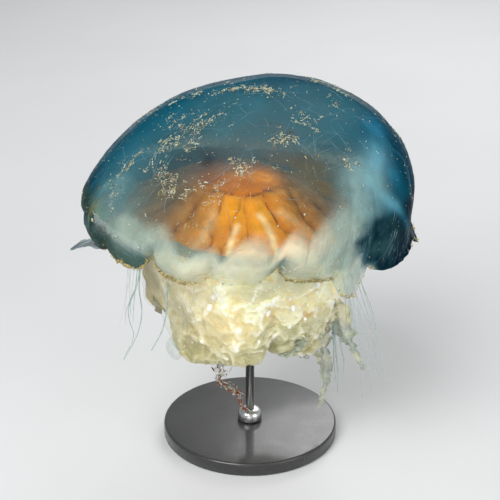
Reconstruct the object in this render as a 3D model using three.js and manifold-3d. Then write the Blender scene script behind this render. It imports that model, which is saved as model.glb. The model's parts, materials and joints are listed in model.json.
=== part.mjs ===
// A young lion's mane jellyfish (genus Cyanea), life size, as a display model on a stand: the bell's
// thick disc, its sixteen marginal lappets, the stomach with its radial folds, four oral arms, eight
// clusters of tentacles, and a plain round base with one rod.
// Millimetres, +Z up. The origin is the centre of the base's underside, and -Y is the animal's front.

import * as THREE from "three";
import { mergeVertices } from "three/addons/utils/BufferGeometryUtils.js";
import Module from "manifold-3d";

const wasm = await Module();
wasm.setup();

// ---------------------------------------------------------------- driving dimensions

const BELL_RADIUS = 90; // at the widest, just above the margin plane
const BELL_HEIGHT = 74; // from the margin plane up to the apex
const BELL_ROUNDNESS = 2.03; // superellipse exponent of the dome's profile: 2 is an ellipse
const BELL_CENTRE = [-4, 0, 138]; // the margin plane's centre
const BELL_LEAN = THREE.MathUtils.degToRad(4); // the bell's axis leans towards +X
const BELL_SLANT = 0.26; // and its layers slide towards +X by this much for each millimetre of height

const LAPPETS = 16; // number 1 is centred on +X, and they are counted anticlockwise from above
const LAPPET_TOP = 20; // the lappets begin this far above the margin plane
const LAPPET_ROOT_THICKNESS = 17;
const LAPPET_EDGE_THICKNESS = 1.6;
const LAPPET_BULGE = 2.6; // each lappet swells outwards between its clefts
const LAPPET_DROPS = [8, 9, 9, 8, 9, 10, 8, 9, 8.5, 9, 9.5, 8, 4.5, 4, 15, 2.5]; // below the margin plane
const LAPPET_CURLS = [-7, -2, 3, 6, 7, 6, 6, 6, 7, 7, 7, 8, 8, 10, 3, -3]; // inwards, at the free edge
const CLEFT_SHALLOW = 5;
const CLEFT_DEEP = 11;
const SHIFTED_CLEFT = 15; // the cleft before lappet number 15, which makes 14 narrow and 15 wide
const CLEFT_SHIFT = -0.5; // in lappet widths

const STOMACH_ROOF = 26; // underside of the bell over the stomach
const STOMACH_CENTRE_RADIUS = 30;
const STOMACH_RADIUS = 69;
const STOMACH_FLOOR = 2; // where the oral arms begin
const STOMACH_FLOOR_RADIUS = 50;
const LEDGE_HEIGHT = 8; // the ring under the stomach that the tentacles grow from
const LEDGE_RADII = [55, 67];
const FOLD_DEPTH = 1.8;

const ARM_RUFFLE = 0.05; // share of the radius that the ruffles stand out by
const ARM_INNER_RADIUS = 8; // the arms stand around the mouth, with the stand's rod in the middle

const TENTACLE_CLUSTERS = 8;
const TENTACLES_IN_CLUSTER = 5;
const TENTACLE_RADII = [0.6, 0.4]; // at the root and at the tip

const BASE_RADIUS = 50;
const BASE_THICKNESS = 8;
const BASE_BEVEL = 1.5;
const COLLAR_RADIUS = 7;
const COLLAR_HEIGHT = 7;
const ROD_RADIUS = 2.5;
const ROD_SOCKET_DEPTH = 10; // how far the rod goes up into the stomach

const GAP = 0.3; // between pieces that touch

// ---------------------------------------------------------------- closed bodies from grids

/** Collects quads and triangles that have some area, and makes a closed geometry of them. */
class Faces {
  constructor() {
    this.positions = [];
  }

  triangle(a, b, c) {
    const tiny = 1e-6;
    if (a.distanceTo(b) < tiny || b.distanceTo(c) < tiny || c.distanceTo(a) < tiny) return;
    for (const p of [a, b, c]) this.positions.push(p.x, p.y, p.z);
  }

  quad(a, b, c, d) {
    this.triangle(a, b, c);
    this.triangle(a, c, d);
  }

  geometry() {
    const soup = new THREE.BufferGeometry();
    soup.setAttribute("position", new THREE.Float32BufferAttribute(this.positions, 3));
    return mergeVertices(soup, 1e-4);
  }
}

/** A body of closed rings, from its top to its bottom. point(i, j) is corner i of ring j, anticlockwise
 * from above, and the first and last rings are each a single point. */
function ringBody(sides, rings, point) {
  const faces = new Faces();
  for (let j = 0; j < rings; j++) {
    for (let i = 0; i < sides; i++) {
      const next = (i + 1) % sides;
      faces.quad(point(i, j), point(i, j + 1), point(next, j + 1), point(next, j));
    }
  }
  return faces.geometry();
}

/** A curved plate between two skins, columns wide (anticlockwise) and rows deep (downwards). */
function plateBody(columns, rows, outer, inner) {
  const faces = new Faces();
  for (let i = 0; i < columns; i++) {
    for (let j = 0; j < rows; j++) {
      faces.quad(outer(i, j), outer(i, j + 1), outer(i + 1, j + 1), outer(i + 1, j));
      faces.quad(inner(i, j), inner(i + 1, j), inner(i + 1, j + 1), inner(i, j + 1));
    }
    faces.quad(outer(i, 0), outer(i + 1, 0), inner(i + 1, 0), inner(i, 0));
    faces.quad(outer(i, rows), inner(i, rows), inner(i + 1, rows), outer(i + 1, rows));
  }
  for (let j = 0; j < rows; j++) {
    faces.quad(outer(0, j), inner(0, j), inner(0, j + 1), outer(0, j + 1));
    faces.quad(outer(columns, j), outer(columns, j + 1), inner(columns, j + 1), inner(columns, j));
  }
  return faces.geometry();
}

/** A tapering strand along a curve that runs mostly downwards, with level rings of the given radius. */
function strandBody(curve, sides, steps, radiusAt) {
  const centres = Array.from({ length: steps + 1 }, (_, k) => curve.getPoint(k / steps));
  return ringBody(sides, steps + 2, (i, j) => {
    const k = THREE.MathUtils.clamp(j - 1, 0, steps);
    if (j === 0 || j === steps + 2) return centres[k];
    const turn = (2 * Math.PI * i) / sides;
    const r = radiusAt(k / steps, turn);
    return centres[k].clone().add(new THREE.Vector3(r * Math.cos(turn), r * Math.sin(turn), 0));
  });
}

// ---------------------------------------------------------------- booleans

function solidFrom(geometry) {
  const merged = geometry.clone();
  merged.deleteAttribute("normal");
  merged.deleteAttribute("uv");
  const welded = mergeVertices(merged, 1e-4);
  return new wasm.Manifold(
    new wasm.Mesh({
      numProp: 3,
      vertProperties: new Float32Array(welded.attributes.position.array),
      triVerts: new Uint32Array(welded.index.array),
    }),
  );
}

function geometryFrom(solid) {
  const mesh = solid.getMesh();
  const geometry = new THREE.BufferGeometry();
  geometry.setAttribute("position", new THREE.Float32BufferAttribute(mesh.vertProperties, 3));
  geometry.setIndex(new THREE.BufferAttribute(new Uint32Array(mesh.triVerts), 1));
  return geometry;
}

function cut(geometry, ...tools) {
  const whole = solidFrom(geometry);
  return geometryFrom(tools.reduce((left, tool) => left.subtract(solidFrom(tool)), whole));
}

function join(geometries) {
  return geometryFrom(geometries.map(solidFrom).reduce((all, one) => all.add(one)));
}

// ---------------------------------------------------------------- the bell's own frame

const bellCentre = new THREE.Vector3(...BELL_CENTRE);
const leanAxis = new THREE.Vector3(0, 1, 0);

/** From the bell's frame, with its axis as Z and the margin plane's centre as origin, to the model's. */
function fromBell(x, y, z) {
  const slid = x + BELL_SLANT * Math.max(0, z);
  return new THREE.Vector3(slid, y, z).applyAxisAngle(leanAxis, BELL_LEAN).add(bellCentre);
}

function roundBell(radius, theta, z) {
  return fromBell(radius * Math.cos(theta), radius * Math.sin(theta), z);
}

/** Height above the floor of the bell's own level z over the point x of the model. */
function levelOver(x, z) {
  return bellCentre.z + z / Math.cos(BELL_LEAN) - (x - bellCentre.x) * Math.tan(BELL_LEAN);
}

/** Outer radius of the dome at a height above the margin plane. */
function domeRadius(z) {
  const share = Math.min(1, Math.max(0, z / BELL_HEIGHT));
  return BELL_RADIUS * (1 - share ** BELL_ROUNDNESS) ** (1 / BELL_ROUNDNESS);
}

// ---------------------------------------------------------------- bell disc

const DISC_SIDES = 44;

/** Half of the disc's section, as [radius, height], from the apex out to the rim and back to the axis. */
function discSection() {
  const domeSteps = 9;
  const dome = Array.from({ length: domeSteps + 1 }, (_, k) => {
    const rimAngle = Math.acos((LAPPET_TOP / BELL_HEIGHT) ** (BELL_ROUNDNESS / 2));
    const z = BELL_HEIGHT * Math.cos((rimAngle * k) / domeSteps) ** (2 / BELL_ROUNDNESS);
    return [domeRadius(z), z];
  });
  const hollow = [
    [STOMACH_RADIUS + 2, LAPPET_TOP],
    [(STOMACH_RADIUS + STOMACH_CENTRE_RADIUS) / 2, (LAPPET_TOP + STOMACH_ROOF) / 2 + 1],
    [STOMACH_CENTRE_RADIUS, STOMACH_ROOF],
    [0, STOMACH_ROOF],
  ];
  return [...dome, ...hollow];
}

function bellDisc() {
  const section = discSection();
  return ringBody(DISC_SIDES, section.length - 1, (i, j) =>
    roundBell(section[j][0], (2 * Math.PI * i) / DISC_SIDES, section[j][1]),
  );
}

// ---------------------------------------------------------------- lappets

const LAPPET_COLUMNS = 6;
const LAPPET_ROWS = 5;
const LAPPET_STEP = (2 * Math.PI) / LAPPETS;

/** Azimuth of the cleft before lappet number n. One cleft is off the even spacing. */
function cleftAngle(n) {
  const shift = n === SHIFTED_CLEFT ? CLEFT_SHIFT : 0;
  return (n - 0.5 + shift) * LAPPET_STEP;
}

/** Lappet number n: a flap of the bell's wall, from under the disc down to its rounded free edge. */
function lappet(n) {
  const halfGap = GAP / BELL_RADIUS / 2;
  const [start, end] = [cleftAngle(n) + halfGap, cleftAngle(n + 1) - halfGap];
  const deepSide = n % 2 === 0 ? 1 : -1; // every other cleft is a deep one, beginning with the first
  const top = LAPPET_TOP - GAP;
  const [drop, curl] = [LAPPET_DROPS[n], LAPPET_CURLS[n]];

  const at = (i, j) => {
    const across = (2 * i) / LAPPET_COLUMNS - 1; // -1 and 1 at its two clefts
    const down = j / LAPPET_ROWS;
    const cleft = across * deepSide > 0 ? CLEFT_DEEP : CLEFT_SHALLOW;
    const z = top - (top + drop - cleft * Math.abs(across) ** 3) * down;
    const bulge = LAPPET_BULGE * (0.5 - across ** 2) * Math.sin((Math.PI / 2) * down);
    return {
      z,
      theta: THREE.MathUtils.lerp(start, end, (across + 1) / 2),
      radius: domeRadius(z) - curl * down ** 3 + bulge,
      thickness: THREE.MathUtils.lerp(LAPPET_ROOT_THICKNESS, LAPPET_EDGE_THICKNESS, down ** 0.7),
    };
  };
  const outer = (i, j) => {
    const p = at(i, j);
    return roundBell(p.radius, p.theta, p.z);
  };
  const inner = (i, j) => {
    const p = at(i, j);
    return roundBell(p.radius - p.thickness, p.theta, p.z);
  };
  return plateBody(LAPPET_COLUMNS, LAPPET_ROWS, outer, inner);
}

// ---------------------------------------------------------------- stomach and radial folds

const FOLD_SIDES = 2 * LAPPETS;

/** The stomach's section as [radius, height, share of the fold's depth]. */
const STOMACH_SECTION = [
  [0, STOMACH_ROOF - GAP, 0],
  [STOMACH_CENTRE_RADIUS, STOMACH_ROOF - GAP, 0],
  [(STOMACH_RADIUS + STOMACH_CENTRE_RADIUS) / 2, (LAPPET_TOP + STOMACH_ROOF) / 2 + 0.4, 0.6],
  [STOMACH_RADIUS, LAPPET_TOP - GAP, 1],
  [STOMACH_RADIUS - 1, (LAPPET_TOP + LEDGE_HEIGHT) / 2, 1],
  [LEDGE_RADII[1], LEDGE_HEIGHT, 0],
  [LEDGE_RADII[0], LEDGE_HEIGHT, 0],
  [STOMACH_FLOOR_RADIUS, STOMACH_FLOOR, 0],
  [0, STOMACH_FLOOR, 0],
];

function stomach() {
  const body = ringBody(FOLD_SIDES, STOMACH_SECTION.length - 1, (i, j) => {
    const [radius, z, folded] = STOMACH_SECTION[j];
    const theta = (2 * Math.PI * i) / FOLD_SIDES;
    const seam = Math.abs(Math.cos((LAPPETS / 2) * theta)) ** 2; // 1 on the seam between two folds
    return roundBell(radius - FOLD_DEPTH * folded * seam, theta, z - FOLD_DEPTH * folded * seam);
  });
  return cut(body, rodClearance());
}

// ---------------------------------------------------------------- oral arms

/** The four arms stand side by side round the mouth, each a quarter of one ruffled skirt. Two have a side
 * lobe, which fills the skirt out to a radius. Across, -1 and 1 are the arm's two sides, and from is the
 * share of its length at which the lobe begins. */
const ARMS = [
  { name: "front", centre: -120, length: 78, ruffles: 5, lobe: { radius: 52, across: -0.47, from: 0.6 } },
  { name: "right", centre: -30, length: 79, ruffles: 5 },
  { name: "back", centre: 60, length: 74, ruffles: 4 },
  { name: "left", centre: 150, length: 57, ruffles: 4, lobe: { radius: 60, across: 0.66, from: 0.02 } },
];
const LOBE_WIDTH = 0.4;
const ARM_ARC = Math.PI / 2;

/** The skirt's radius on the way down, as [share of the arm's length, radius]. */
const SKIRT = [
  [0, 45],
  [0.14, 51],
  [0.3, 54],
  [0.47, 52.5],
  [0.62, 50],
  [0.77, 46.5],
  [0.91, 41.5],
  [1, 31],
];
const ARM_OUTER_POINTS = 21;
const ARM_INNER_POINTS = 5;
const ARM_PARTING = 3.2; // how far each side of an arm draws back from its neighbour's at the bottom
const ARM_HOLLOW = 14; // how much higher the arms' inner side ends

/** How far an arm's side lobe stands out from the skirt's own radius. */
function lobeReach(arm, across, s, skirt) {
  if (!arm.lobe) return 0;
  const { smoothstep } = THREE.MathUtils;
  const along = smoothstep(s, arm.lobe.from, arm.lobe.from + 0.2) * (1 - smoothstep(s, 0.86, 1.06));
  const beside = (across - arm.lobe.across) / LOBE_WIDTH;
  return Math.max(0, arm.lobe.radius - skirt) * along * Math.exp(-(beside ** 2));
}

/** One quarter of the skirt. */
function armQuarter(arm) {
  const sides = ARM_OUTER_POINTS + ARM_INNER_POINTS;
  const centre = THREE.MathUtils.degToRad(arm.centre);

  const edge = (i, row) => {
    const [s, skirt] = SKIRT[row];
    const outside = i < ARM_OUTER_POINTS;
    const across = outside
      ? (2 * i) / (ARM_OUTER_POINTS - 1) - 1
      : 1 - (2 * (i - ARM_OUTER_POINTS)) / (ARM_INNER_POINTS - 1);
    const wave = Math.PI * arm.ruffles * across;
    const smallRuffle = 0.4 * Math.cos(2.3 * wave - 5 * s + arm.centre);
    const ruffle = ARM_RUFFLE * (Math.cos(wave + 2.2 * s) + smallRuffle);
    const ruffled = skirt * (1 + ruffle * Math.min(1, 4 * s)) + lobeReach(arm, across, s, skirt);
    const radius = outside ? ruffled : ARM_INNER_RADIUS;
    const inset = Math.asin((GAP / 2 + ARM_PARTING * s ** 2) / radius);
    const theta = centre + across * (ARM_ARC / 2 - inset);
    const [x, y] = [radius * Math.cos(theta), radius * Math.sin(theta)];
    const hem = outside ? 3.5 * Math.cos(wave * 0.8 + arm.centre) * s ** 4 : ARM_HOLLOW * s ** 2;
    const floor = bellCentre.z - 4 - arm.length + hem;
    return new THREE.Vector3(x, y, THREE.MathUtils.lerp(levelOver(x, STOMACH_FLOOR - GAP), floor, s));
  };
  const middle = (row) => {
    const sum = new THREE.Vector3();
    for (let i = 0; i < sides; i++) sum.add(edge(i, row));
    return sum.divideScalar(sides);
  };
  const last = SKIRT.length + 1;
  return ringBody(sides, last, (i, j) => {
    if (j === 0) return middle(0);
    return j === last ? middle(SKIRT.length - 1) : edge(i, j - 1);
  });
}

/** Torn ends that trail below an arm: each one's middle line, and its radius at root and tip. */
const STREAMERS = {
  right: [
    { points: [[37, -12, 84], [44, -11, 66], [45, -10, 48], [40, -10, 30]], radii: [6.2, 1.6] },
    { points: [[46, -10, 96], [54, -11, 82], [60, -10, 66], [62, -10, 51]], radii: [3.8, 1.3] },
  ],
  front: [{ points: [[-19, -20, 66], [-17, -20, 48], [-12, -20, 39], [-6, -20, 30]], radii: [2.2, 0.8] }],
  back: [],
  left: [],
};

function streamer({ points, radii }) {
  const curve = new THREE.CatmullRomCurve3(points.map((point) => new THREE.Vector3(...point)));
  const ragged = (s, turn) => 1 + 0.25 * Math.sin(9 * s + 2 * turn);
  const radius = (s, turn) => THREE.MathUtils.lerp(radii[0], radii[1], s) * ragged(s, turn);
  return strandBody(curve, 6, 7, radius);
}

function oralArm(arm) {
  return join([armQuarter(arm), ...STREAMERS[arm.name].map(streamer)]);
}

// ---------------------------------------------------------------- tentacles

/** How far each cluster's tentacles hang, and how far they drift outwards for each millimetre. */
const TENTACLE_LENGTHS = [34, 44, 50, 56, 74, 70, 22, 78];
const TENTACLE_DRIFTS = [0.12, 0.12, 0.12, 0.14, 0.16, 0.14, 0.1, 0.3];
const ROOT_PAD = { across: 8, deep: 4, thick: 3.5, sides: 8 };
const ROOT_RADIUS = (LEDGE_RADII[0] + LEDGE_RADII[1]) / 2;

/** The clusters lie inside the deep clefts. */
function clusterAngle(cluster) {
  return (cluster * 2 + 0.5) * LAPPET_STEP;
}

/** A point under the stomach's ledge, out from and beside a cluster's middle. */
function underLedge(cluster, out, side, z) {
  const theta = clusterAngle(cluster);
  return fromBell(
    (ROOT_RADIUS + out) * Math.cos(theta) - side * Math.sin(theta),
    (ROOT_RADIUS + out) * Math.sin(theta) + side * Math.cos(theta),
    z,
  );
}

function rootPad(cluster) {
  const shrink = [0, 1, 0.8, 0];
  const depth = [0, 0, ROOT_PAD.thick, ROOT_PAD.thick];
  return ringBody(ROOT_PAD.sides, 3, (i, j) => {
    const turn = (2 * Math.PI * i) / ROOT_PAD.sides;
    const out = ROOT_PAD.deep * shrink[j] * Math.cos(turn);
    const side = ROOT_PAD.across * shrink[j] * Math.sin(turn);
    return underLedge(cluster, out, side, LEDGE_HEIGHT - GAP - depth[j]);
  });
}

function tentacle(cluster, n) {
  const theta = clusterAngle(cluster);
  const spread = n / (TENTACLES_IN_CLUSTER - 1) - 0.5;
  const wave = Math.sin(2.4 * cluster + 1.7 * n);
  const side = 1.5 * ROOT_PAD.across * spread;
  const root = underLedge(cluster, 1.2 * Math.cos(3 * n), side, LEDGE_HEIGHT - 1.5);
  const length = TENTACLE_LENGTHS[cluster] * (1 + 0.18 * wave);
  const drift = (TENTACLE_DRIFTS[cluster] + 0.05 * wave) * length;
  const outward = new THREE.Vector3(Math.cos(theta), Math.sin(theta), 0);
  const sideways = new THREE.Vector3(-Math.sin(theta), Math.cos(theta), 0);
  const points = [0, 0.25, 0.5, 0.75, 1].map((s) =>
    root
      .clone()
      .addScaledVector(outward, drift * s + 1.2 * Math.sin(5 * s + cluster) * s)
      .addScaledVector(sideways, 5 * spread * s + 1.6 * Math.sin(4 * s + 2 * cluster + n) * s)
      .add(new THREE.Vector3(0, 0, -length * s)),
  );
  const curve = new THREE.CatmullRomCurve3(points);
  return strandBody(curve, 4, 5, (s) => THREE.MathUtils.lerp(TENTACLE_RADII[0], TENTACLE_RADII[1], s));
}

function tentacleCluster(cluster) {
  const strands = Array.from({ length: TENTACLES_IN_CLUSTER }, (_, n) => tentacle(cluster, n));
  return join([rootPad(cluster), ...strands]);
}

// ---------------------------------------------------------------- stand

const rodTop = levelOver(0, STOMACH_FLOOR) + ROD_SOCKET_DEPTH;

function rod(radius, bottom, top) {
  const geometry = new THREE.CylinderGeometry(radius, radius, top - bottom, 16);
  geometry.rotateX(Math.PI / 2);
  geometry.translate(0, 0, (top + bottom) / 2);
  return geometry;
}

function rodClearance() {
  return rod(ROD_RADIUS + GAP, BASE_THICKNESS, rodTop + GAP);
}

/** A turned piece from [radius, height] points that run up from the axis and back to it. */
function turned(points, sides) {
  const profile = points.map(([radius, z]) => new THREE.Vector2(radius, z));
  const geometry = new THREE.LatheGeometry(profile, sides);
  geometry.rotateX(Math.PI / 2);
  return geometry;
}

function standBase() {
  return turned(
    [
      [0, 0],
      [BASE_RADIUS - BASE_BEVEL / 2, 0],
      [BASE_RADIUS, BASE_BEVEL / 2],
      [BASE_RADIUS, BASE_THICKNESS - BASE_BEVEL],
      [BASE_RADIUS - BASE_BEVEL, BASE_THICKNESS],
      [0, BASE_THICKNESS],
    ],
    48,
  );
}

function standCollar() {
  const [bottom, top] = [BASE_THICKNESS + GAP, BASE_THICKNESS + COLLAR_HEIGHT];
  const collar = turned(
    [
      [0, bottom],
      [COLLAR_RADIUS, bottom],
      [COLLAR_RADIUS, bottom + 2],
      [COLLAR_RADIUS * 0.62, top],
      [0, top],
    ],
    16,
  );
  return cut(collar, rod(ROD_RADIUS + GAP, BASE_THICKNESS - 1, top + 1));
}

// ---------------------------------------------------------------- materials and assembly

function material(color, roughness, metalness = 0) {
  return new THREE.MeshStandardMaterial({ color, roughness, metalness });
}

const gel = material(0x4f7f90, 0.2);
const lappetGel = material(0xa9bcb6, 0.3);
const stomachFlesh = material(0xd08a3c, 0.45);
const armFlesh = material(0xe9dcae, 0.5);
const tentacleFlesh = material(0xb9c7bf, 0.35);
const lacquer = material(0x26282b, 0.35);
const steel = material(0xb9bcc0, 0.25, 1);

const jellyfish = new THREE.Group();

function add(name, geometry, look) {
  const mesh = new THREE.Mesh(geometry, look);
  mesh.name = name;
  jellyfish.add(mesh);
}

const numbered = (stem, n) => `${stem}_${String(n + 1).padStart(2, "0")}`;

add("bell_disc", bellDisc(), gel);
for (let n = 0; n < LAPPETS; n++) add(numbered("lappet", n), lappet(n), lappetGel);
add("stomach", stomach(), stomachFlesh);
for (const arm of ARMS) add(`oral_arm_${arm.name}`, oralArm(arm), armFlesh);
for (let n = 0; n < TENTACLE_CLUSTERS; n++) {
  add(numbered("tentacles", n), tentacleCluster(n), tentacleFlesh);
}
add("stand_base", standBase(), lacquer);
add("stand_collar", standCollar(), steel);
add("stand_rod", rod(ROD_RADIUS, BASE_THICKNESS + GAP, rodTop), steel);

export default jellyfish;
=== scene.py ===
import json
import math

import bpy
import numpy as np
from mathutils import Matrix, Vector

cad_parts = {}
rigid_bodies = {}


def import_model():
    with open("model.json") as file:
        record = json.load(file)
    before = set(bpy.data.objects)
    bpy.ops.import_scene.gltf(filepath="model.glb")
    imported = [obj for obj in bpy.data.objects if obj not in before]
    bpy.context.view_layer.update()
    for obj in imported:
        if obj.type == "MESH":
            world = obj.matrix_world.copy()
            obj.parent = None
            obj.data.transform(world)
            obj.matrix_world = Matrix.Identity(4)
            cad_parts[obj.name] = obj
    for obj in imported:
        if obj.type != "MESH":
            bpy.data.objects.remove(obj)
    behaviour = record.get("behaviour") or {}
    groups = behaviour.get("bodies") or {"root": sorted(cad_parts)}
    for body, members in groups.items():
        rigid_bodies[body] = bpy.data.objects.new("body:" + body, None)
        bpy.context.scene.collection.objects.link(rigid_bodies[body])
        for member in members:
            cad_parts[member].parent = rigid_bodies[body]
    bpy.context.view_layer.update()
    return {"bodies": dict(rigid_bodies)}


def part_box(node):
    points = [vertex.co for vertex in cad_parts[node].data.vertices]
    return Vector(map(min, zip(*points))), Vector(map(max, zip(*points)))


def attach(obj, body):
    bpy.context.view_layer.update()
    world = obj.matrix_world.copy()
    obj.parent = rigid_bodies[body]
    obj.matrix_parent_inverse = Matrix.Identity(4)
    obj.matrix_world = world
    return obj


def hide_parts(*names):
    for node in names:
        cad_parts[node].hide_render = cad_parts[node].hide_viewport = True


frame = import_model()

# A young lion's mane jellyfish on a display stand. The bell is made of nested clear shells: its skin, a
# denser gel and a milky gel under it, its underside, and the pale tissue of the lappets. The orange dome of
# the stomach shows through them, and the ruffled oral arms, the streamers and the tentacles hang below.
# The bell and the stomach are worked out in millimetres in the bell's own frame, as in the part, and the
# arms, streamers and tentacles in millimetres in the model's frame. All meshes are stored in metres.
# Azimuths run anticlockwise from the +X side, seen from above, and -90 degrees is the front.

# ---- sizes, in millimetres

BELL_RADIUS, BELL_HEIGHT, ROUNDNESS = 90.0, 74.0, 2.03
BELL_CENTRE = np.array([-4.0, 0.0, 138.0])  # the middle of the margin, in the model's frame
LEAN = math.radians(4)  # of the whole bell, to the right
SLANT = 0.26  # how far the dome is sheared to the right, per millimetre of height
LAPPETS, LAPPET_TOP = 16, 20.0
STEP = 2 * math.pi / LAPPETS
MARGIN_CLEFTS = (np.arange(LAPPETS + 1) - 0.5) * STEP
MARGIN_CLEFTS[15] -= STEP / 2  # the lappet right of this cleft is a wide one, and its neighbour narrow
# how far each lappet hangs below the margin's level, and how far its edge curls in towards the middle
DROPS = np.array([8, 9, 9, 8, 9, 10, 8, 9, 8.5, 9, 9.5, 8, 4.5, 4, 15, 2.5])
CURLS = np.array([-7, -2, 3, 6, 7, 6, 6, 6, 7, 7, 7, 8, 8, 10, 3, -3])
SHALLOW_CLEFT, DEEP_CLEFT = 5.0, 11.0  # between the lappets, by turns
UNDERSIDE_RADIUS = 57.0  # where the bell's underside meets the foot of the stomach's folds
SKIRT_RADIUS = 68.0  # of the stomach's skirt of folds
ARM_DROP = 80.0  # from the bell's margin down to the arms' lowest edges
TENTACLE_RING = 61.0  # radius at which the tentacles are rooted
ARCHES = np.array([  # tops of the pale tissue: azimuth, height and half width in degrees
    [-155, 27, 9], [-139, 20, 9], [-124, 23, 10], [-104.5, 19, 7.5], [-89.5, 26, 9], [-75.5, 28, 8],
    [-58, 41, 11], [-38, 31, 12], [-14, 33, 13], [12, 31, 13], [37, 26, 12], [60, 24, 11], [82, 26, 11],
    [104, 24, 11], [126, 25, 11], [148, 24, 11], [171, 20, 11],
])
DISC_RADIUS, DISC_PLACE = 24.0, np.array([-11.0, -5.5])  # of the flat disc on top of the stomach
MM = 0.001


def from_bell(points):
    """From the bell's frame in millimetres to the model's in metres."""
    x, y, z = points[..., 0], points[..., 1], points[..., 2]
    x = x + SLANT * np.maximum(0, z)
    c, s = math.cos(LEAN), math.sin(LEAN)
    return (np.stack([c * x + s * z, y, c * z - s * x], -1) + BELL_CENTRE) * MM


def polar(radius, theta, z):
    radius, theta, z = np.broadcast_arrays(radius, theta, z)
    return np.stack([radius * np.cos(theta), radius * np.sin(theta), z], -1)


def around(count):
    """Evenly spaced angles once round."""
    return np.linspace(0, 2 * np.pi, count, endpoint=False)


def unit(vectors):
    return vectors / (np.linalg.norm(vectors, axis=-1, keepdims=True) + 1e-12)


# ---- smooth steps and noise


def smooth(low, high, x):
    t = np.clip((x - low) / (high - low), 0, 1)
    return t * t * (3 - 2 * t)


def blend(a, b, share):
    return a + (b - a) * share


def angle_of(points):
    return np.arctan2(points[..., 1], points[..., 0])


def angle_past(theta, azimuth):
    """How far an angle lies past an azimuth in degrees, from -pi to pi."""
    return (theta - np.radians(azimuth) + math.pi) % (2 * math.pi) - math.pi


def bump_at(theta, centre, width, power=2):
    """1 at an azimuth in degrees, falling to 0 a few widths away on both sides."""
    return np.exp(-((angle_past(theta, centre) / np.radians(width)) ** power))


def fade(away):
    """1 where a distance is 0, falling to 0 as it passes 1."""
    return np.exp(-(away**2))


def fade_out(away):
    """The same, for vectors of distance."""
    return np.exp(-np.sum(away**2, -1))


def lattice(cell, seed):
    """Repeatable numbers from 0 to 1 for whole-number cells."""
    h = cell[..., 0] * 374761393 + cell[..., 1] * 668265263 + cell[..., 2] * 1440662683 + seed * 974634777
    h = (h ^ (h >> 13)) * 1274126177 & 0xFFFFFFFF
    return ((h ^ (h >> 16)) & 0xFFFFFF) / 0xFFFFFF


def noise(points, size, seed=0):
    """Smooth noise from -1 to 1 with features of about the given size."""
    p = points / size
    cell = np.floor(p).astype(np.int64)
    f = p - cell
    f = f * f * f * (f * (f * 6 - 15) + 10)
    total = 0
    for corner in np.ndindex(2, 2, 2):
        weight = np.prod(np.where(np.array(corner) == 1, f, 1 - f), axis=-1)
        total = total + weight * lattice(cell + np.array(corner), seed)
    return total * 2 - 1


def rough(points, size, octaves=4, seed=0):
    """Noise of several sizes on top of each other, mostly from -1 to 1."""
    total, weight = 0, 1
    for k in range(octaves):
        total = total + weight * noise(points, size, seed + k)
        size, weight = size / 2.1, weight * 0.5
    return total


def patchy(points, size, octaves, seed):
    """The same noise, mostly from 0 to 1."""
    return 0.5 + 0.5 * rough(points, size, octaves, seed)


def shaken(points, depth, size, octaves, seed):
    """The points, each moved by noise of about the given depth."""
    return points + depth * rough(points, size, octaves, seed)[..., None]


def lumps(points, size, seed=0):
    """Rounded lumps from 0 to 1: high at scattered centres and low in the creases between them."""
    p = points / size
    cell = np.floor(p).astype(np.int64)
    nearest = np.full(p.shape[:-1], 9.0)
    for beside in np.ndindex(3, 3, 3):
        there = cell + np.array(beside) - 1
        centre = there + np.stack([lattice(there, seed + k) for k in range(3)], -1)
        nearest = np.minimum(nearest, np.sum((centre - p) ** 2, -1))
    return 1 - np.clip(nearest, 0, 1)


# ---- meshes


def placed(name, data):
    """A new object in the scene that holds a mesh, a lamp or a camera."""
    thing = bpy.data.objects.new(name, data)
    bpy.context.scene.collection.objects.link(thing)
    return thing


def finish_mesh(name, points, faces, uvs, material, tint=None, **values):
    """A smooth mesh piece in metres that rides on the body, with its tint and other values per point."""
    mesh = bpy.data.meshes.new(name)
    mesh.from_pydata(points.reshape(-1, 3).tolist(), [], faces.tolist())
    mesh.uv_layers.new(name="OFBake").data.foreach_set("uv", uvs.reshape(-1).astype(np.float32))
    mesh.polygons.foreach_set("use_smooth", np.ones(len(faces), dtype=bool))
    if tint is not None:
        rgba = np.ones((len(mesh.vertices), 4), dtype=np.float32)
        rgba[:, :3] = np.broadcast_to(tint, points.shape).reshape(-1, 3)
        mesh.attributes.new("tint", "FLOAT_COLOR", "POINT").data.foreach_set("color", rgba.reshape(-1))
    for key, value in values.items():
        flat = np.broadcast_to(value, points.shape[:-1]).reshape(-1).astype(np.float32)
        mesh.attributes.new(key, "FLOAT", "POINT").data.foreach_set("value", flat)
    mesh.materials.append(material)
    mesh.update()
    piece = placed(name, mesh)
    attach(piece, BODY)
    return piece


def grid_faces(rows, cols, closed):
    """Faces and corner UVs of a grid whose rows run down and whose columns run anticlockwise."""
    index = np.arange(rows * cols).reshape(rows, cols)
    row, col = np.mgrid[0 : rows - 1, 0 : cols if closed else cols - 1]
    after = (col + 1) % cols
    faces = np.stack([index[row, col], index[row + 1, col], index[row + 1, after], index[row, after]], -1)
    wide = cols if closed else cols - 1
    corner_u = np.stack([col, col, col + 1, col + 1], -1) / wide
    corner_v = 1 - np.stack([row, row + 1, row + 1, row], -1) / (rows - 1)
    uvs = np.stack([corner_u, corner_v], -1)
    return faces.reshape(-1, 4), uvs.reshape(-1, 2)


def grid_piece(name, points, material, tint=None, closed=True, **values):
    """One piece from a grid of points, [rows, cols, 3], that closes on itself sideways or stays open."""
    faces, uvs = grid_faces(points.shape[0], points.shape[1], closed)
    return finish_mesh(name, points, faces, uvs, material, tint, **values)


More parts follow.
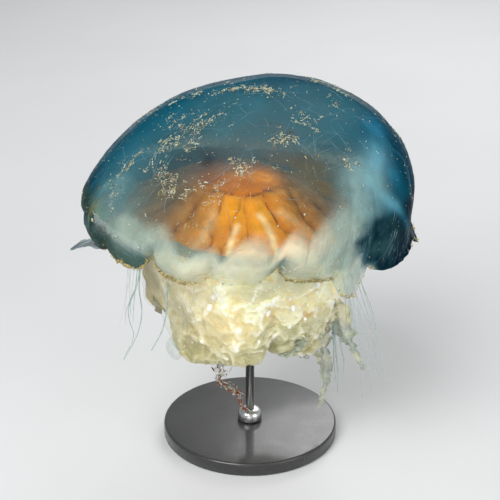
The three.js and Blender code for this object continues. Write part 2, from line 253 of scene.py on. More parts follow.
def many_grids(name, grids, material, tint=None, closed=True, **values):
    """One piece from a stack of equal grids, [count, rows, cols, 3]. Their UVs share the map as tiles."""
    count, rows, cols = grids.shape[:3]
    faces, uvs = grid_faces(rows, cols, closed)
    across = math.ceil(math.sqrt(count))
    number = np.arange(count)
    tiles = np.stack([number % across, number // across], -1)
    all_faces = faces[None] + number[:, None, None] * rows * cols
    all_uvs = (uvs[None] * 0.96 + 0.02 + tiles[:, None, :]) / across
    return finish_mesh(name, grids, all_faces.reshape(-1, 4), all_uvs, material, tint, **values)


def normals_of(points):
    """Outward unit normals of a grid of points that closes on itself sideways."""
    sideways = np.roll(points, -1, axis=1) - np.roll(points, 1, axis=1)
    return unit(np.cross(np.gradient(points, axis=0), sideways))


def ball(rows, cols):
    """A grid over a sphere of radius 1, from its top down."""
    up = np.linspace(1, -1, rows)[:, None]
    return polar(np.sqrt(1 - up**2) + 1e-4, around(cols), up)


def tubes(paths, radii, sides=6):
    """Tube grids along paths [count, steps, 3] with radii [count, steps], closed at both ends."""
    along = unit(np.gradient(paths, axis=1))
    helper = np.where(np.abs(along[..., 2:3]) > 0.8, [1.0, 0, 0], [0, 0, 1.0])
    side = unit(np.cross(along, helper))
    other = np.cross(along, side)
    turn = around(sides)
    ring = side[:, :, None] * np.cos(turn)[:, None] + other[:, :, None] * np.sin(turn)[:, None]
    grids = paths[:, :, None] + ring * radii[:, :, None, None]
    first = np.repeat(paths[:, :1, None], sides, axis=2)
    last = np.repeat(paths[:, -1:, None], sides, axis=2)
    return np.concatenate([first, grids, last], axis=1)


# ---- materials


def srgb(r, g, b):
    """A linear colour from screen values up to 255."""
    screen = np.array([r, g, b]) / 255
    return np.where(screen <= 0.04045, screen / 12.92, ((screen + 0.055) / 1.055) ** 2.4)


def over(tint, other, share):
    """A tint with another laid over it, by a share for each point. A plain tuple is a screen colour."""
    other = srgb(*other) if isinstance(other, tuple) else other
    return blend(tint, other, np.asarray(share)[..., None])


def mixed(first, second, share):
    """A tint between two screen colours, by a share for each point."""
    return over(srgb(*first), second, share)


class Shader:
    """A node material under construction, around one Principled shader."""

    def __init__(self, name, **constants):
        self.material = bpy.data.materials.new(name)
        self.material.use_nodes = True
        self.tree = self.material.node_tree
        self.surface = self.tree.nodes["Principled BSDF"]
        for socket, value in constants.items():
            self.surface.inputs[socket.replace("_", " ")].default_value = value
        self.place = self.node("ShaderNodeTexCoord").outputs["Object"]

    def node(self, kind, inputs=None, **settings):
        node = self.tree.nodes.new(kind)
        for key, value in settings.items():
            setattr(node, key, value)
        for socket, value in (inputs or {}).items():
            self.feed(node.inputs[socket], value)
        return node

    def feed(self, socket, value):
        if isinstance(value, bpy.types.NodeSocket):
            self.tree.links.new(value, socket)
        else:
            socket.default_value = value

    def set(self, socket, value):
        self.feed(self.surface.inputs[socket], value)

    def attribute(self, name, output="Fac"):
        return self.node("ShaderNodeAttribute", attribute_name=name).outputs[output]

    def noise(self, scale, detail=4.0, roughness=0.55, distortion=0.0, stretch=None):
        place = self.place
        if stretch:
            place = self.node("ShaderNodeMapping", {"Vector": place, "Scale": stretch}).outputs[0]
        values = {"Vector": place, "Scale": scale, "Detail": detail}
        values |= {"Roughness": roughness, "Distortion": distortion}
        return self.node("ShaderNodeTexNoise", values).outputs["Fac"]

    def spread(self, value, low, high, to_low=0.0, to_high=1.0):
        """The value from low to high, smoothly spread between two others."""
        inputs = {"Value": value, "From Min": low, "From Max": high, "To Min": to_low, "To Max": to_high}
        return self.node("ShaderNodeMapRange", inputs, interpolation_type="SMOOTHSTEP").outputs["Result"]

    def maths(self, operation, a, b=0.5):
        node = self.node("ShaderNodeMath", operation=operation)
        self.feed(node.inputs[0], a)
        self.feed(node.inputs[1], b)
        return node.outputs[0]

    def grey(self, value):
        return self.node("ShaderNodeCombineColor", {0: value, 1: value, 2: value}).outputs[0]

    def mix(self, share, a, b, blend_type="MIX"):
        node = self.node("ShaderNodeMix", data_type="RGBA", blend_type=blend_type)
        for socket, value in ((0, share), (6, a), (7, b)):
            is_colour = not isinstance(value, bpy.types.NodeSocket) and socket != 0
            self.feed(node.inputs[socket], (*value, 1.0) if is_colour else value)
        return node.outputs[2]

    def bump(self, height, distance, strength=1.0):
        values = {"Height": height, "Distance": distance, "Strength": strength}
        self.set("Normal", self.node("ShaderNodeBump", values).outputs["Normal"])


def gel_shader(name, roughness, wisps, wisp_colour, bump_mm):
    """Clear gel: its tint and cover come from the mesh, and pale wisps drift through it."""
    shader = Shader(name, Roughness=roughness, IOR=1.03)
    threads = shader.noise(95, 5, 0.6, 1.4, (1, 1, 1.8))
    off_thread = shader.maths("ABSOLUTE", shader.maths("SUBTRACT", threads, 0.5), 0)
    thread = shader.spread(off_thread, 0.0, 0.022, 1.0, 0.0)
    patch = shader.spread(shader.noise(38, 3), 0.45, 0.7)
    strength = shader.maths("MULTIPLY_ADD", shader.attribute("web"), 0.16)
    strength.node.inputs[2].default_value = wisps
    wisp = shader.maths("MULTIPLY", shader.maths("MULTIPLY", thread, patch), strength)
    cloud = shader.spread(shader.noise(30, 5, 0.6), 0.3, 0.75, 0.86, 1.14)
    mottled = shader.mix(1.0, shader.attribute("tint", "Color"), shader.grey(cloud), "MULTIPLY")
    shader.set("Base Color", shader.mix(wisp, mottled, wisp_colour))
    cloudy = shader.maths("MULTIPLY", shader.attribute("cover"), cloud)
    shader.set("Alpha", shader.maths("MINIMUM", shader.maths("MAXIMUM", cloudy, wisp), 1.0))
    shader.bump(shader.noise(220, 4, 0.6), bump_mm * MM)
    return shader.material


def flesh_shader(name, roughness, grain, bump_mm, darkest=0.74, **constants):
    """Wet flesh: its tint and cover come from the mesh, mottled and bumped at the given grain."""
    shader = Shader(name, Roughness=roughness, **constants)
    shade = shader.spread(shader.noise(grain, 6, 0.62), 0.25, 0.78, darkest, 1.16)
    mottled = shader.mix(1.0, shader.attribute("tint", "Color"), shader.grey(shade), "MULTIPLY")
    shader.set("Base Color", mottled)
    shader.set("Alpha", shader.attribute("cover"))
    shader.bump(shader.noise(grain * 2.5, 5, 0.65), bump_mm * MM)
    return shader.material


BODY = next(iter(frame["bodies"]))

ARM_SOFTNESS = {"Subsurface_Weight": 1.0, "Subsurface_Radius": (1.0, 0.85, 0.6), "Subsurface_Scale": 0.022}
TISSUE_SOFTNESS = {"Subsurface_Weight": 0.3, "Subsurface_Scale": 0.004}
DOME_SOFTNESS = {"Subsurface_Weight": 0.5, "Subsurface_Scale": 0.005}

skin_gel = gel_shader("skin_gel", 0.28, 0.16, srgb(120, 168, 182), 0.2)
core_gel = gel_shader("core_gel", 0.5, 0.12, srgb(90, 134, 148), 0.6)
haze_gel = gel_shader("haze_gel", 0.6, 0.12, srgb(110, 150, 160), 0.8)
tissue_gel = flesh_shader("tissue_gel", 0.5, 70, 0.08, 0.86, IOR=1.12, **TISSUE_SOFTNESS)
dome_flesh = flesh_shader("dome_flesh", 0.5, 150, 0.2, 0.8, IOR=1.08, **DOME_SOFTNESS)
arm_flesh = flesh_shader("arm_flesh", 0.42, 200, 0.08, 0.9, **ARM_SOFTNESS)
film_gel = flesh_shader("film_gel", 0.3, 60, 0.1, 0.9, IOR=1.3)
bead_flesh = flesh_shader("bead_flesh", 0.15, 300, 0.1)
strand_gel = flesh_shader("strand_gel", 0.3, 300, 0.1)
crust_flesh = flesh_shader("crust_flesh", 0.55, 500, 0.3)

# ---- the bell's skin, down to the lappets' edges


def by_lappet(table, theta, clefts):
    """A value of each lappet, blended towards its neighbours' near its clefts, and the place across it."""
    n, across = across_lappet(theta, clefts)
    beside = n + np.where(across >= 0, 1, -1)
    here, there = table[n], table[beside % LAPPETS]
    return blend(here, (here + there) / 2, across**2), across, n


def margin_level(theta):
    """Height of the lappets' free edge."""
    drop, across, n = by_lappet(DROPS, theta, MARGIN_CLEFTS)
    deep = (across >= 0) == (n % 2 == 0)
    cleft = np.where(deep, DEEP_CLEFT, SHALLOW_CLEFT) * np.abs(across) ** 3
    return cleft - drop + 0.9 * rough(polar(60.0, theta, 0.0), 9, 3, 40)


def dome_radius(z):
    """Radius of the bell's dome at a height above its margin's level."""
    share = np.clip(z / BELL_HEIGHT, 0, 1)
    return BELL_RADIUS * (1 - share**ROUNDNESS) ** (1 / ROUNDNESS)


def wall_radius(theta, z, margin):
    """Radius of the bell's outer wall below the dome, which swells and curls in lappet by lappet."""
    down = np.clip((LAPPET_TOP - z) / (LAPPET_TOP - margin), 0, 1.2)
    curl, across, _ = by_lappet(CURLS, theta, MARGIN_CLEFTS)
    flutes = 0.18 * np.sin(theta * 80 + 3 * noise(polar(40.0, theta, z), 22, 3)) * down**2
    return dome_radius(z) - curl * down**3 + 1.2 * (0.5 - across**2) * np.sin(np.pi / 2 * down) + flutes


def across_lappet(theta, clefts):
    """Number of the lappet at an angle, and the place across it, from -1 at one cleft to 1 at the next."""
    turned = (theta + STEP / 2) % (2 * np.pi) - STEP / 2
    n = np.clip(np.searchsorted(clefts, turned, side="right") - 1, 0, LAPPETS - 1)
    return n, 2 * (turned - clefts[n]) / (clefts[n + 1] - clefts[n]) - 1


def dented(points, depth=1.0):
    """Pushes a dome's points in and out by broad dents and fine ripples, along the line from its middle."""
    push = 1.3 * rough(points, 42, 2, 11) + 0.25 * rough(points, 9, 3, 12)
    _, across = across_lappet(angle_of(points), MARGIN_CLEFTS)
    groove = -0.9 * np.abs(across) ** 6
    reach = smooth(48, 22, points[..., 2]) * smooth(-5, 12, points[..., 2])
    return points + unit(points) * ((push + groove * reach) * depth)[..., None]


def dome_heights(rows, lowest):
    """Heights from the apex down to the lowest one, evenly spaced along the dome."""
    last = math.acos((lowest / BELL_HEIGHT) ** (ROUNDNESS / 2))
    return BELL_HEIGHT * np.cos(np.linspace(0, last, rows)) ** (2 / ROUNDNESS)


def bell_wall(theta, down):
    """Points of the lappets' outer face, down from 0 at their top to 1 at their free edge."""
    margin = margin_level(theta)
    z = LAPPET_TOP + (margin - LAPPET_TOP) * down
    return polar(wall_radius(theta, z, margin), theta, z)


def dome_point(azimuth, height):
    """The place on the plain dome at an azimuth in degrees and a height."""
    angle, radius = math.radians(azimuth), dome_radius(height)
    return np.array([radius * math.cos(angle), radius * math.sin(angle), height])


def near(points, azimuth, height, wide, tall):
    """1 at a place on the dome, falling to 0 over the given reaches in millimetres."""
    return fade_out((points - dome_point(azimuth, height)) / np.array([wide, wide, tall]))


def frontness(points):
    """0 round the back, rising over the top to 1 over the bell's front."""
    sides = bump_at(angle_of(points), -102, 66, 6)
    top = smooth(60, 70, points[..., 2])
    return smooth(-0.35, 0.35, -points[..., 1] / BELL_RADIUS) * (sides + (1 - sides) * top)


def window(points):
    """The wide patch in front where the gel is clear enough to show the stomach."""
    z = points[..., 2]
    return bump_at(angle_of(points), -94, 46, 4) * smooth(8, 18, z) * smooth(64, 52, z)


PATCHES = (  # tinted places in the skin: azimuth, height, reach across, reach up, colour, cover, strength
    (-50, 48, 13, 9, (110, 138, 138), 0.85, 1.3), (-52, 39, 11, 7, (124, 150, 146), 0.88, 1.3),
    (-50, 31, 8, 5, (126, 160, 158), 0.95, 1.3), (-46, 26, 5, 3.5, (72, 108, 116), 1.05, 1.2),
    (-59, 15, 8, 9, (158, 182, 174), 0.55, 0.9), (-62, 28, 10, 8, (148, 172, 166), 0.6, 1.0),
    (-56, 25, 8, 7, (138, 168, 162), 0.7, 0.95), (-30, 42, 6, 11, (26, 106, 132), 0.98, 1.1),
    (-160, 17, 7, 6, (60, 88, 82), 0.85, 1.1), (-152, 13, 7, 5, (98, 124, 108), 0.85, 1.4),
    (-146, 21, 7, 5, (94, 126, 126), 0.8, 1.2), (-136, 15, 10, 7, (142, 158, 146), 0.78, 1.4),
    (-127, 14, 9, 6, (146, 160, 146), 0.72, 1.3), (-144, 8, 8, 5, (112, 134, 120), 0.85, 1.3),
    (-150, 28, 9, 7, (90, 124, 128), 0.8, 1.3), (-157, 23, 4.5, 6, (84, 128, 134), 0.8, 1.1),
    (-176, 17, 9, 13, (2, 54, 70), 1.12, 1.5), (-166, 14, 6, 8, (4, 50, 64), 1.12, 1.2),
    (-178, 34, 12, 9, (20, 78, 94), 0.85, 1.1),
)
SHOULDER = np.array([  # down the crest of the right shoulder: azimuth, height, reach, colour
    [-20, 59, 10, 40, 112, 142], [-32, 54, 10, 84, 142, 160], [-40, 49, 9.5, 102, 150, 162],
    [-44, 43, 8.5, 118, 162, 168], [-43, 38, 6.5, 114, 160, 168], [-38.5, 33, 4.6, 90, 146, 162],
    [-33, 28, 3.6, 82, 146, 166], [-28, 21, 3.2, 36, 106, 130], [-23, 13, 3.0, 30, 92, 112],
])
RIDGE_HEIGHTS = (5, 20, 28, 33, 38, 44, 51, 57)  # up the crisp edge of the right shoulder
RIDGE_AZIMUTHS = (-12, -18, -18.5, -16.5, -13.5, -14, -19.5, -19)


def painted(points, places, tint, cover):
    """A tint and cover with soft-edged places laid over them, as in PATCHES."""
    cloud = 0.95 + 0.35 * rough(points, 8, 3, 20)
    for azimuth, height, wide, tall, colour, most, strength in places:
        where = np.clip(strength * cloud * near(points, azimuth, height, wide, tall), 0, 1)
        tint = over(tint, colour, where)
        cover = blend(cover, most, where)
    return tint, cover


def shoulder(points):
    """How milky the crest of the right shoulder is at each point, and its colour there."""
    t = np.linspace(0, len(SHOULDER) - 1, 34)
    line = np.stack([np.interp(t, np.arange(len(SHOULDER)), column) for column in SHOULDER.T], -1)
    most, total, colour = 0, 1e-9, 0
    for azimuth, height, reach, *tone in line:
        weight = near(points, azimuth, height, reach, reach)
        most = np.maximum(most, weight)
        total = total + weight**4
        colour = colour + weight[..., None] ** 4 * srgb(*tone)
    return np.clip(1.15 * most * (0.9 + 0.2 * rough(points, 9, 3, 26)), 0, 1), colour / total[..., None]


def ridge(points):
    """Degrees past the crisp edge of the right shoulder, whose azimuth changes with height."""
    return np.degrees(angle_of(points)) - np.interp(points[..., 2], RIDGE_HEIGHTS, RIDGE_AZIMUTHS)


def clear_side(points):
    """1 on the clear lappets of the right side, whose pale tissue stops short."""
    theta = np.degrees(angle_of(points))
    z = points[..., 2] + 2.5 * noise(points, 12, 24)
    first = np.interp(z, [0, 3, 8, 12, 17, 22, 28], [-45, -48, -53, -54, -57, -54, -46])
    first = first + 2 * noise(points, 6, 28)
    top = np.clip(23 + 0.4 * (theta + 50), 19, 29) + 5 * smooth(-35, -10, theta) * rough(points, 26, 3, 29)
    return smooth(first, first + 7, theta) * smooth(30, 16, theta) * smooth(top + 3, top - 4, z)


def dark_corner(points):
    """1 on the clear strip low on the left lappets."""
    theta = (np.degrees(angle_of(points)) + 360) % 360 - 360
    line = np.interp(theta, [-157, -150, -142, -132, -126, -120], [14, 10, 6, 5, 3, -4])
    line = line + 2 * noise(points, 9, 25)
    ends = smooth(-119, -128, theta) * smooth(-196, -180, theta)
    return ends * smooth(line + 3, line - 3, points[..., 2])


def skin_look(points):
    """Colour and cover of the skin at points in the bell's frame."""
    z, theta = points[..., 2], np.degrees(angle_of(points))
    haze, patch = frontness(points), patchy(points, 30, 3, 21)
    clear, front, dark = clear_side(points), window(points), dark_corner(points)
    tint = mixed((0, 62, 84), (4, 82, 102), patch)
    tint = over(tint, (62, 112, 122), 0.85 * haze)
    tint = over(tint, (92, 82, 62), 0.7 * front)
    cover = blend(0.76, 0.34, haze) * (1 - 0.88 * front)

    _, across = across_lappet(angle_of(points), MARGIN_CLEFTS)
    arch = 17 - 9 * across**2 + 4 * rough(points, 14, 3, 22)
    pale = smooth(arch, arch - 13, z) * (1 - clear) * (1 - dark)
    margin = mixed((136, 168, 166), (172, 180, 154), patchy(points, 7, 4, 23))
    tint = over(tint, margin, pale)
    cover = blend(cover, blend(0.6, 0.1, haze), pale)
    tint, cover = painted(points, PATCHES, tint, cover)

    milky, milk = shoulder(points)
    tint = over(tint, milk, milky)
    cover = blend(cover, 0.9, milky)
    past = ridge(points)
    rim = smooth(-0.7, 0.7, past) * smooth(50, 30, past) * smooth(62, 52, z)
    tint = over(tint, (2, 58, 78), rim)
    cover = blend(cover, 1.14, rim)
    # a thin paler blue line of painted highlight along the crisp edge of the right shoulder
    crest = fade(past / 0.9) * smooth(58, 50, z) * smooth(26, 36, z)
    tint = over(tint, (44, 112, 136), 0.5 * crest)

    clear = clear * (1 - 0.8 * milky)
    cloudy = smooth(0.2, 0.9, patchy(points, 12, 4, 27)) * smooth(-24, -44, theta)
    tint = over(tint, mixed((1, 30, 44), (40, 74, 78), cloudy), clear)
    cover = blend(cover, 1.18, clear)
    corner = mixed((34, 54, 46), (72, 94, 82), smooth(-146, -132, theta) * (theta < 0))
    tint = over(tint, corner, 0.9 * dark)
    cover = blend(cover, 0.98, dark)
    stain = near(points, -154, 11, 7, 10) * smooth(0.4, 0.8, patch)
    tint = over(tint, (146, 134, 70), stain)
    return tint, np.maximum(cover, 0.6 * stain)


def bell_skin():
    """The outer skin from the apex to the lappets' free edge, and a little way up inside them."""
    cols, dome_rows, wall_rows, inner_rows = 512, 78, 52, 14
    inner_top = 0.55  # where the inner layer ends, as a share of the way down the lappets
    theta = around(cols)[None]
    heights = dome_heights(dome_rows, LAPPET_TOP)[:, None]
    dome = polar(dome_radius(heights), theta, heights)
    wall = bell_wall(theta, np.linspace(0, 1, wall_rows)[1:, None])
    back_up = np.linspace(1, inner_top, inner_rows)[:, None]
    inside = bell_wall(theta, back_up)
    thickness = 1.3 + 9 * (1 - back_up)
    inside[..., :2] *= 1 - thickness[..., None] / BELL_RADIUS
    points = dented(np.concatenate([dome, wall, inside]))
    tint, cover = skin_look(points)
    cover[-inner_rows:] *= smooth(inner_top, 0.8, back_up)
    web = clear_side(points) + dark_corner(points)
    piece = grid_piece("bell_skin", from_bell(points), skin_gel, tint, cover=cover, web=web)
    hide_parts("bell_disc", *[f"lappet_{n:02d}" for n in range(1, LAPPETS + 1)])
    piece.visible_shadow = False


# ---- the denser gel under the skin


def depth_look(points):
    """Colour and cover of the deep blue gel just under the skin."""
    haze, front, patch = frontness(points), window(points), patchy(points, 24, 3, 31)
    tint = mixed((0, 58, 82), (4, 80, 100), patch)
    tint = over(tint, (52, 98, 108), 0.8 * haze)
    tint = over(tint, (84, 76, 60), 0.7 * front)
    cover = blend(0.88, 0.45, haze) * (1 - 0.88 * front) * (0.85 + 0.3 * patch)
    return tint, np.clip(cover, 0, 0.95) * smooth(8, 16, points[..., 2])


HAZES = (  # places in the milky gel, as in PATCHES
    (-104, 69, 24, 7.5, (92, 82, 70), 0.85, 1.5), (-122, 62, 14, 6.5, (74, 84, 86), 0.85, 1.3),
    (-133, 56, 14, 8, (36, 44, 54), 0.85, 1.2), (-142, 49, 13, 8, (44, 52, 58), 0.8, 1.2),
    (-154, 44, 10, 8, (62, 92, 94), 0.8, 1.2), (-76, 62, 10, 5, (76, 72, 60), 0.88, 1.4),
    (-88, 63.5, 10, 4.5, (88, 84, 74), 0.88, 1.4), (-150, 33, 9, 6, (88, 116, 114), 0.88, 1.4),
    (-65, 57, 12, 6, (86, 82, 66), 0.85, 1.4), (-62, 50, 10, 6, (84, 80, 60), 0.7, 1.2),
    (-48, 58, 9, 6, (92, 108, 104), 0.85, 1.3), (-48, 48, 8, 8, (112, 128, 116), 0.85, 1.2),
    (-134, 38, 12, 8, (84, 84, 68), 0.6, 1.1), (-142, 28, 7, 7, (112, 124, 112), 0.85, 1.3),
    (-14, 52, 20, 11, (96, 158, 178), 0.95, 1.6), (-2, 41, 13, 10, (84, 152, 176), 0.9, 1.4),
    (-158, 26, 12, 8, (84, 126, 134), 0.8, 1.2), (-176, 30, 14, 8, (30, 88, 104), 0.8, 1.2),
)


def haze_look(points):
    """Colour and cover of the milky inner gel, which stops short of the skin on top."""
    patch = patchy(points, 20, 4, 34)
    tint = mixed((52, 92, 100), (68, 108, 114), patch)
    cover = 0.42 * frontness(points) * (1 - 0.9 * window(points)) * (0.7 + 0.6 * patch)
    tint, cover = painted(points, HAZES, tint, cover)
    return tint, cover * smooth(10, 20, points[..., 2])


def inner_shell(name, look, material, wide, tall, seed):
    """A dome inside the skin, narrower and lower by the given shares."""
    cols, rows, lowest = 400, 100, 6.0
    heights = dome_heights(rows, lowest)[:, None]
    points = dented(polar(dome_radius(heights), around(cols)[None], heights), 1.2)
    tint, cover = look(points)
    points = points * np.array([wide, wide, tall]) * (1 + 0.012 * noise(points, 30, seed)[..., None])
    piece = grid_piece(name, from_bell(points), material, tint, cover=cover)
    piece.visible_shadow = False


def bell_underside():
    """The bell's hollow underside, from the foot of the stomach's folds out to the lappets."""
    cols, rows = 480, 40
    level, inset = 6.0, 5.5  # where it meets the lappets, and how far inside their wall it ends
    theta = around(cols)[None]
    out = np.linspace(0, 1, rows)[:, None]
    reach = wall_radius(theta, level, margin_level(theta)) - inset
    furrow = 0.5 + 0.5 * np.cos(theta * LAPPETS)
    height = 0.5 + 6.5 * np.sin(np.pi / 2 * out) - 2.2 * furrow * np.sin(np.pi * out)
    points = polar(blend(UNDERSIDE_RADIUS, reach, out), theta, height)
    points = shaken(points, 0.8, 11, 3, 38)
    patch = patchy(points, 12, 4, 39)
    front = frontness(points) * (1 - clear_side(points))
    tint = mixed((10, 62, 78), (28, 88, 100), patch)
    tint = over(tint, (150, 160, 138), 0.85 * front)
    tint = over(tint, (122, 104, 76), 0.6 * smooth(0.35, 0.0, out) * patch)
    cover = np.clip(0.8 + 0.3 * patch, 0, 1) * smooth(0, 0.06, out)
    piece = grid_piece("bell_underside", from_bell(points), tissue_gel, tint, cover=cover)
    piece.visible_shadow = False


# ---- pale tissue of the lappets


def tissue_arch(theta):
    """Height of the tissue's upper edge, and the place across its arch: 0 at the peak, 1 at a notch."""
    away = np.abs(angle_past(theta[..., None], ARCHES[:, 0])) / np.radians(ARCHES[:, 2])
    tops = ARCHES[:, 1] - 13 * away**1.8
    best = np.argmax(tops, axis=-1)[..., None]
    top = np.take_along_axis(tops, best, -1)[..., 0] + 1.5 * rough(polar(50.0, theta, 0.0), 12, 3, 50)
    return np.maximum(top, 8), np.clip(np.take_along_axis(away, best, -1)[..., 0], 0, 1.3)


def lappet_tissue():
    """The white tissue in the lappets, whose upper edge is a row of rounded arches under the skin."""
    cols, rows = 960, 64
    theta = around(cols)[None]
    down = np.linspace(0, 1, rows)[:, None]
    arch, across = tissue_arch(theta)
    margin = margin_level(theta)
    z = arch + (margin + 0.5 - arch) * down
    radius = wall_radius(theta, z, margin)
    inset = blend(4.2, 1.0, smooth(0, 0.6, down)) + 0.5 * across**3 * (1 - down)
    ring = polar(50.0, theta, z)
    wave = np.sin(theta * 44 + 7 * noise(ring, 30, 51)) * noise(ring, 20, 56)
    pleated = bump_at(theta, -55, 13)
    points = polar(radius - inset + (0.2 + 0.7 * pleated) * wave * np.sin(np.pi * down), theta, z)
    points = points + 0.25 * normals_of(points) * rough(points, 8, 3, 52)[..., None]

    patch = patchy(points, 13, 4, 53)
    streaks = 0.5 + 0.5 * np.sin(theta * 170 + 12 * noise(points, 15, 54))
    streaks = streaks * smooth(0.35, 0.8, patchy(points, 10, 1, 55)) * (0.25 + 0.75 * pleated)
    front = bump_at(theta, -88, 34)
    middle = bump_at(theta, -86, 16) * smooth(0.1, 0.4, down) * smooth(0.9, 0.5, down)
    cream = mixed((142, 160, 148), (220, 216, 188), front * (0.7 + 0.3 * patch))
    soft_top = mixed((134, 156, 152), (196, 204, 190), front)
    tint = over(soft_top, cream, smooth(0.0, 0.5, down + 0.25 * patch))
    tint = over(tint, (224, 210, 174), 0.5 * middle)
    tint = over(tint, (226, 212, 152), 0.6 * smooth(0.75, 1, down) * patch * front)
    tint = over(tint, (214, 226, 220), 0.6 * streaks)

    frayed = smooth(blend(0.75, 0.5, front), 1.0, down + 0.2 * (patch - 0.5)) * blend(0.6, 0.9, front)
    cover = smooth(0, blend(0.3, 0.42, front), down) * blend(0.7, 0.78, front)
    cover = cover * (0.85 + 0.3 * patch) * (1 - frayed)
    glassy = smooth(0.5, 1, clear_side(points) + dark_corner(points))
    tint = over(tint, (40, 96, 112), glassy)
    cover = cover * (1 - 0.9 * glassy) + 0.25 * streaks * glassy
    piece = grid_piece("lappet_tissue", from_bell(points), tissue_gel, tint, cover=cover)


VEINED_LAPPETS = (0, 8, 9, 14, 15)  # whose fine canals show best


def lappet_veins():
    """Fine pale canals that fan out down each lappet."""
    rng = np.random.default_rng(41)
    steps = 26
    t = np.linspace(0, 1, steps)
    theta, first = [], []
    for number, (start, end) in enumerate(zip(MARGIN_CLEFTS[:-1], MARGIN_CLEFTS[1:])):
        each = 24 if number in VEINED_LAPPETS else 12
        for place in np.linspace(-0.95, 0.95, each) + rng.normal(0, 0.06, each):
            sway = rng.uniform(0.05, 0.45) * np.sin(rng.uniform(2, 8) * t + rng.uniform(0, 6))
            theta.append((start + end) / 2 + (end - start) / 2 * (place * (0.5 + 0.5 * t) + sway * t))
            first.append(rng.uniform(1, 22))
    theta = np.array(theta)
    top, _ = tissue_arch(theta[:, :1])
    z = top - np.array(first)[:, None]
    margin = margin_level(theta)
    z = z + (margin + 1.5 - z) * t
    paths = dented(polar(wall_radius(theta, z, margin) + 0.1, theta, z))
    radii = rng.uniform(0.03, 0.1, (len(theta), 1)) * (1 - 0.6 * t)
    grids = tubes(paths, radii, 5)
    glassy = np.clip(clear_side(grids) + dark_corner(grids), 0, 1)
    cover = 0.03 + 0.3 * glassy + 0.12 * (1 - frontness(grids))
    cover = cover * smooth(-0.5, 0.3, noise(grids, 5, 42))
    tint = mixed((70, 126, 142), (160, 188, 190), rng.uniform(0, 1, len(theta))[:, None, None] ** 2)
    piece = many_grids("lappet_veins", from_bell(grids), strand_gel, tint, cover=cover)


# ---- the stomach's dome and its folds

STOMACH_RADII = (0, 12, 24, 30, 37, 47, 56, SKIRT_RADIUS)
STOMACH_HEIGHTS = (25.4, 25, 24, 21.5, 16.5, 9.5, 5, 2)
SEAM_RADII = (24, 34, 44, 58)
FRONT_SEAMS = (  # azimuths at those radii of the seams between the folds in front
    (-122, -124, -127, -130), (-102, -105, -107.5, -107.5), (-84.5, -86.5, -95, -100.5),
    (-79, -82.5, -85.5, -85), (-55, -62.5, -60.5, -50), (-10, -27, -38, -46),
)
BACK_SEAMS = 10
PAINTED_HIGHLIGHTS = (  # painted highlights down the folds: (radius, azimuth) down each pale streak, its half width in millimetres and its strength
    (((44, -91.5), (52, -96.5), (62, -97.5)), 1.8, 1.0), (((40, -75), (46, -73), (56, -74)), 1.9, 1.0),
    (((38, -108.5), (50, -111.5), (60, -114)), 2.6, 0.55), (((38, -55), (50, -49), (60, -46)), 3.2, 0.35),
)
GLOWS = ((-72, 37, 7.5), (-95, 35, 6), (-79, 44, 5), (-104, 40, 4))  # azimuth, radius and reach of each


def seam_azimuths(radius):
    """Azimuths in degrees of the seams at a radius, anticlockwise once round from the left of the front."""
    front = np.array([np.interp(radius, SEAM_RADII, seam) for seam in FRONT_SEAMS])
    number = np.arange(1, BACK_SEAMS + 1)
    gap = (front[0] + 360 - front[-1]) / (BACK_SEAMS + 1)
    back = front[-1] + gap * (number + 0.22 * np.sin(2.4 * number + 0.03 * radius))
    seams = np.concatenate([front, back])
    seams = seams + 1.1 * np.sin(0.33 * radius + 2.1 * np.arange(len(seams)))
    return np.append(seams, seams[0] + 360)


def folds(theta, radius):
    """For each point of the skirt: its fold's number, the place across it from -1 to 1, and its width."""
    number = np.zeros(np.broadcast(theta, radius).shape, int)
    across, width = np.zeros(number.shape), np.zeros(number.shape)
    for row, r in enumerate(radius[:, 0]):
        seams = seam_azimuths(r)
        azimuth = (np.degrees(theta[0]) - seams[0]) % 360 + seams[0]
        n = np.clip(np.searchsorted(seams, azimuth, side="right") - 1, 0, len(seams) - 2)
        number[row], width[row] = n, np.radians(seams[n + 1] - seams[n]) * r
        across[row] = 2 * (azimuth - seams[n]) / (seams[n + 1] - seams[n]) - 1
    return number, across, width


def streak(theta, radius, line, wide):
    """1 along a line of (radius, azimuth) places, falling to 0 beside it and before it starts."""
    line = np.array(line, float)
    away = (np.degrees(theta) - np.interp(radius, line[:, 0], line[:, 1]) + 180) % 360 - 180
    return fade(np.radians(away) * radius / wide) * smooth(line[0, 0] - 3, line[0, 0] + 2, radius)


def beside_point(theta, radius, azimuth, middle, reach):
    """1 at a place on the skirt, falling to 0 over a reach in millimetres."""
    return fade_out((polar(radius, theta, 0.0) - polar(middle, math.radians(azimuth), 0.0)) / reach)


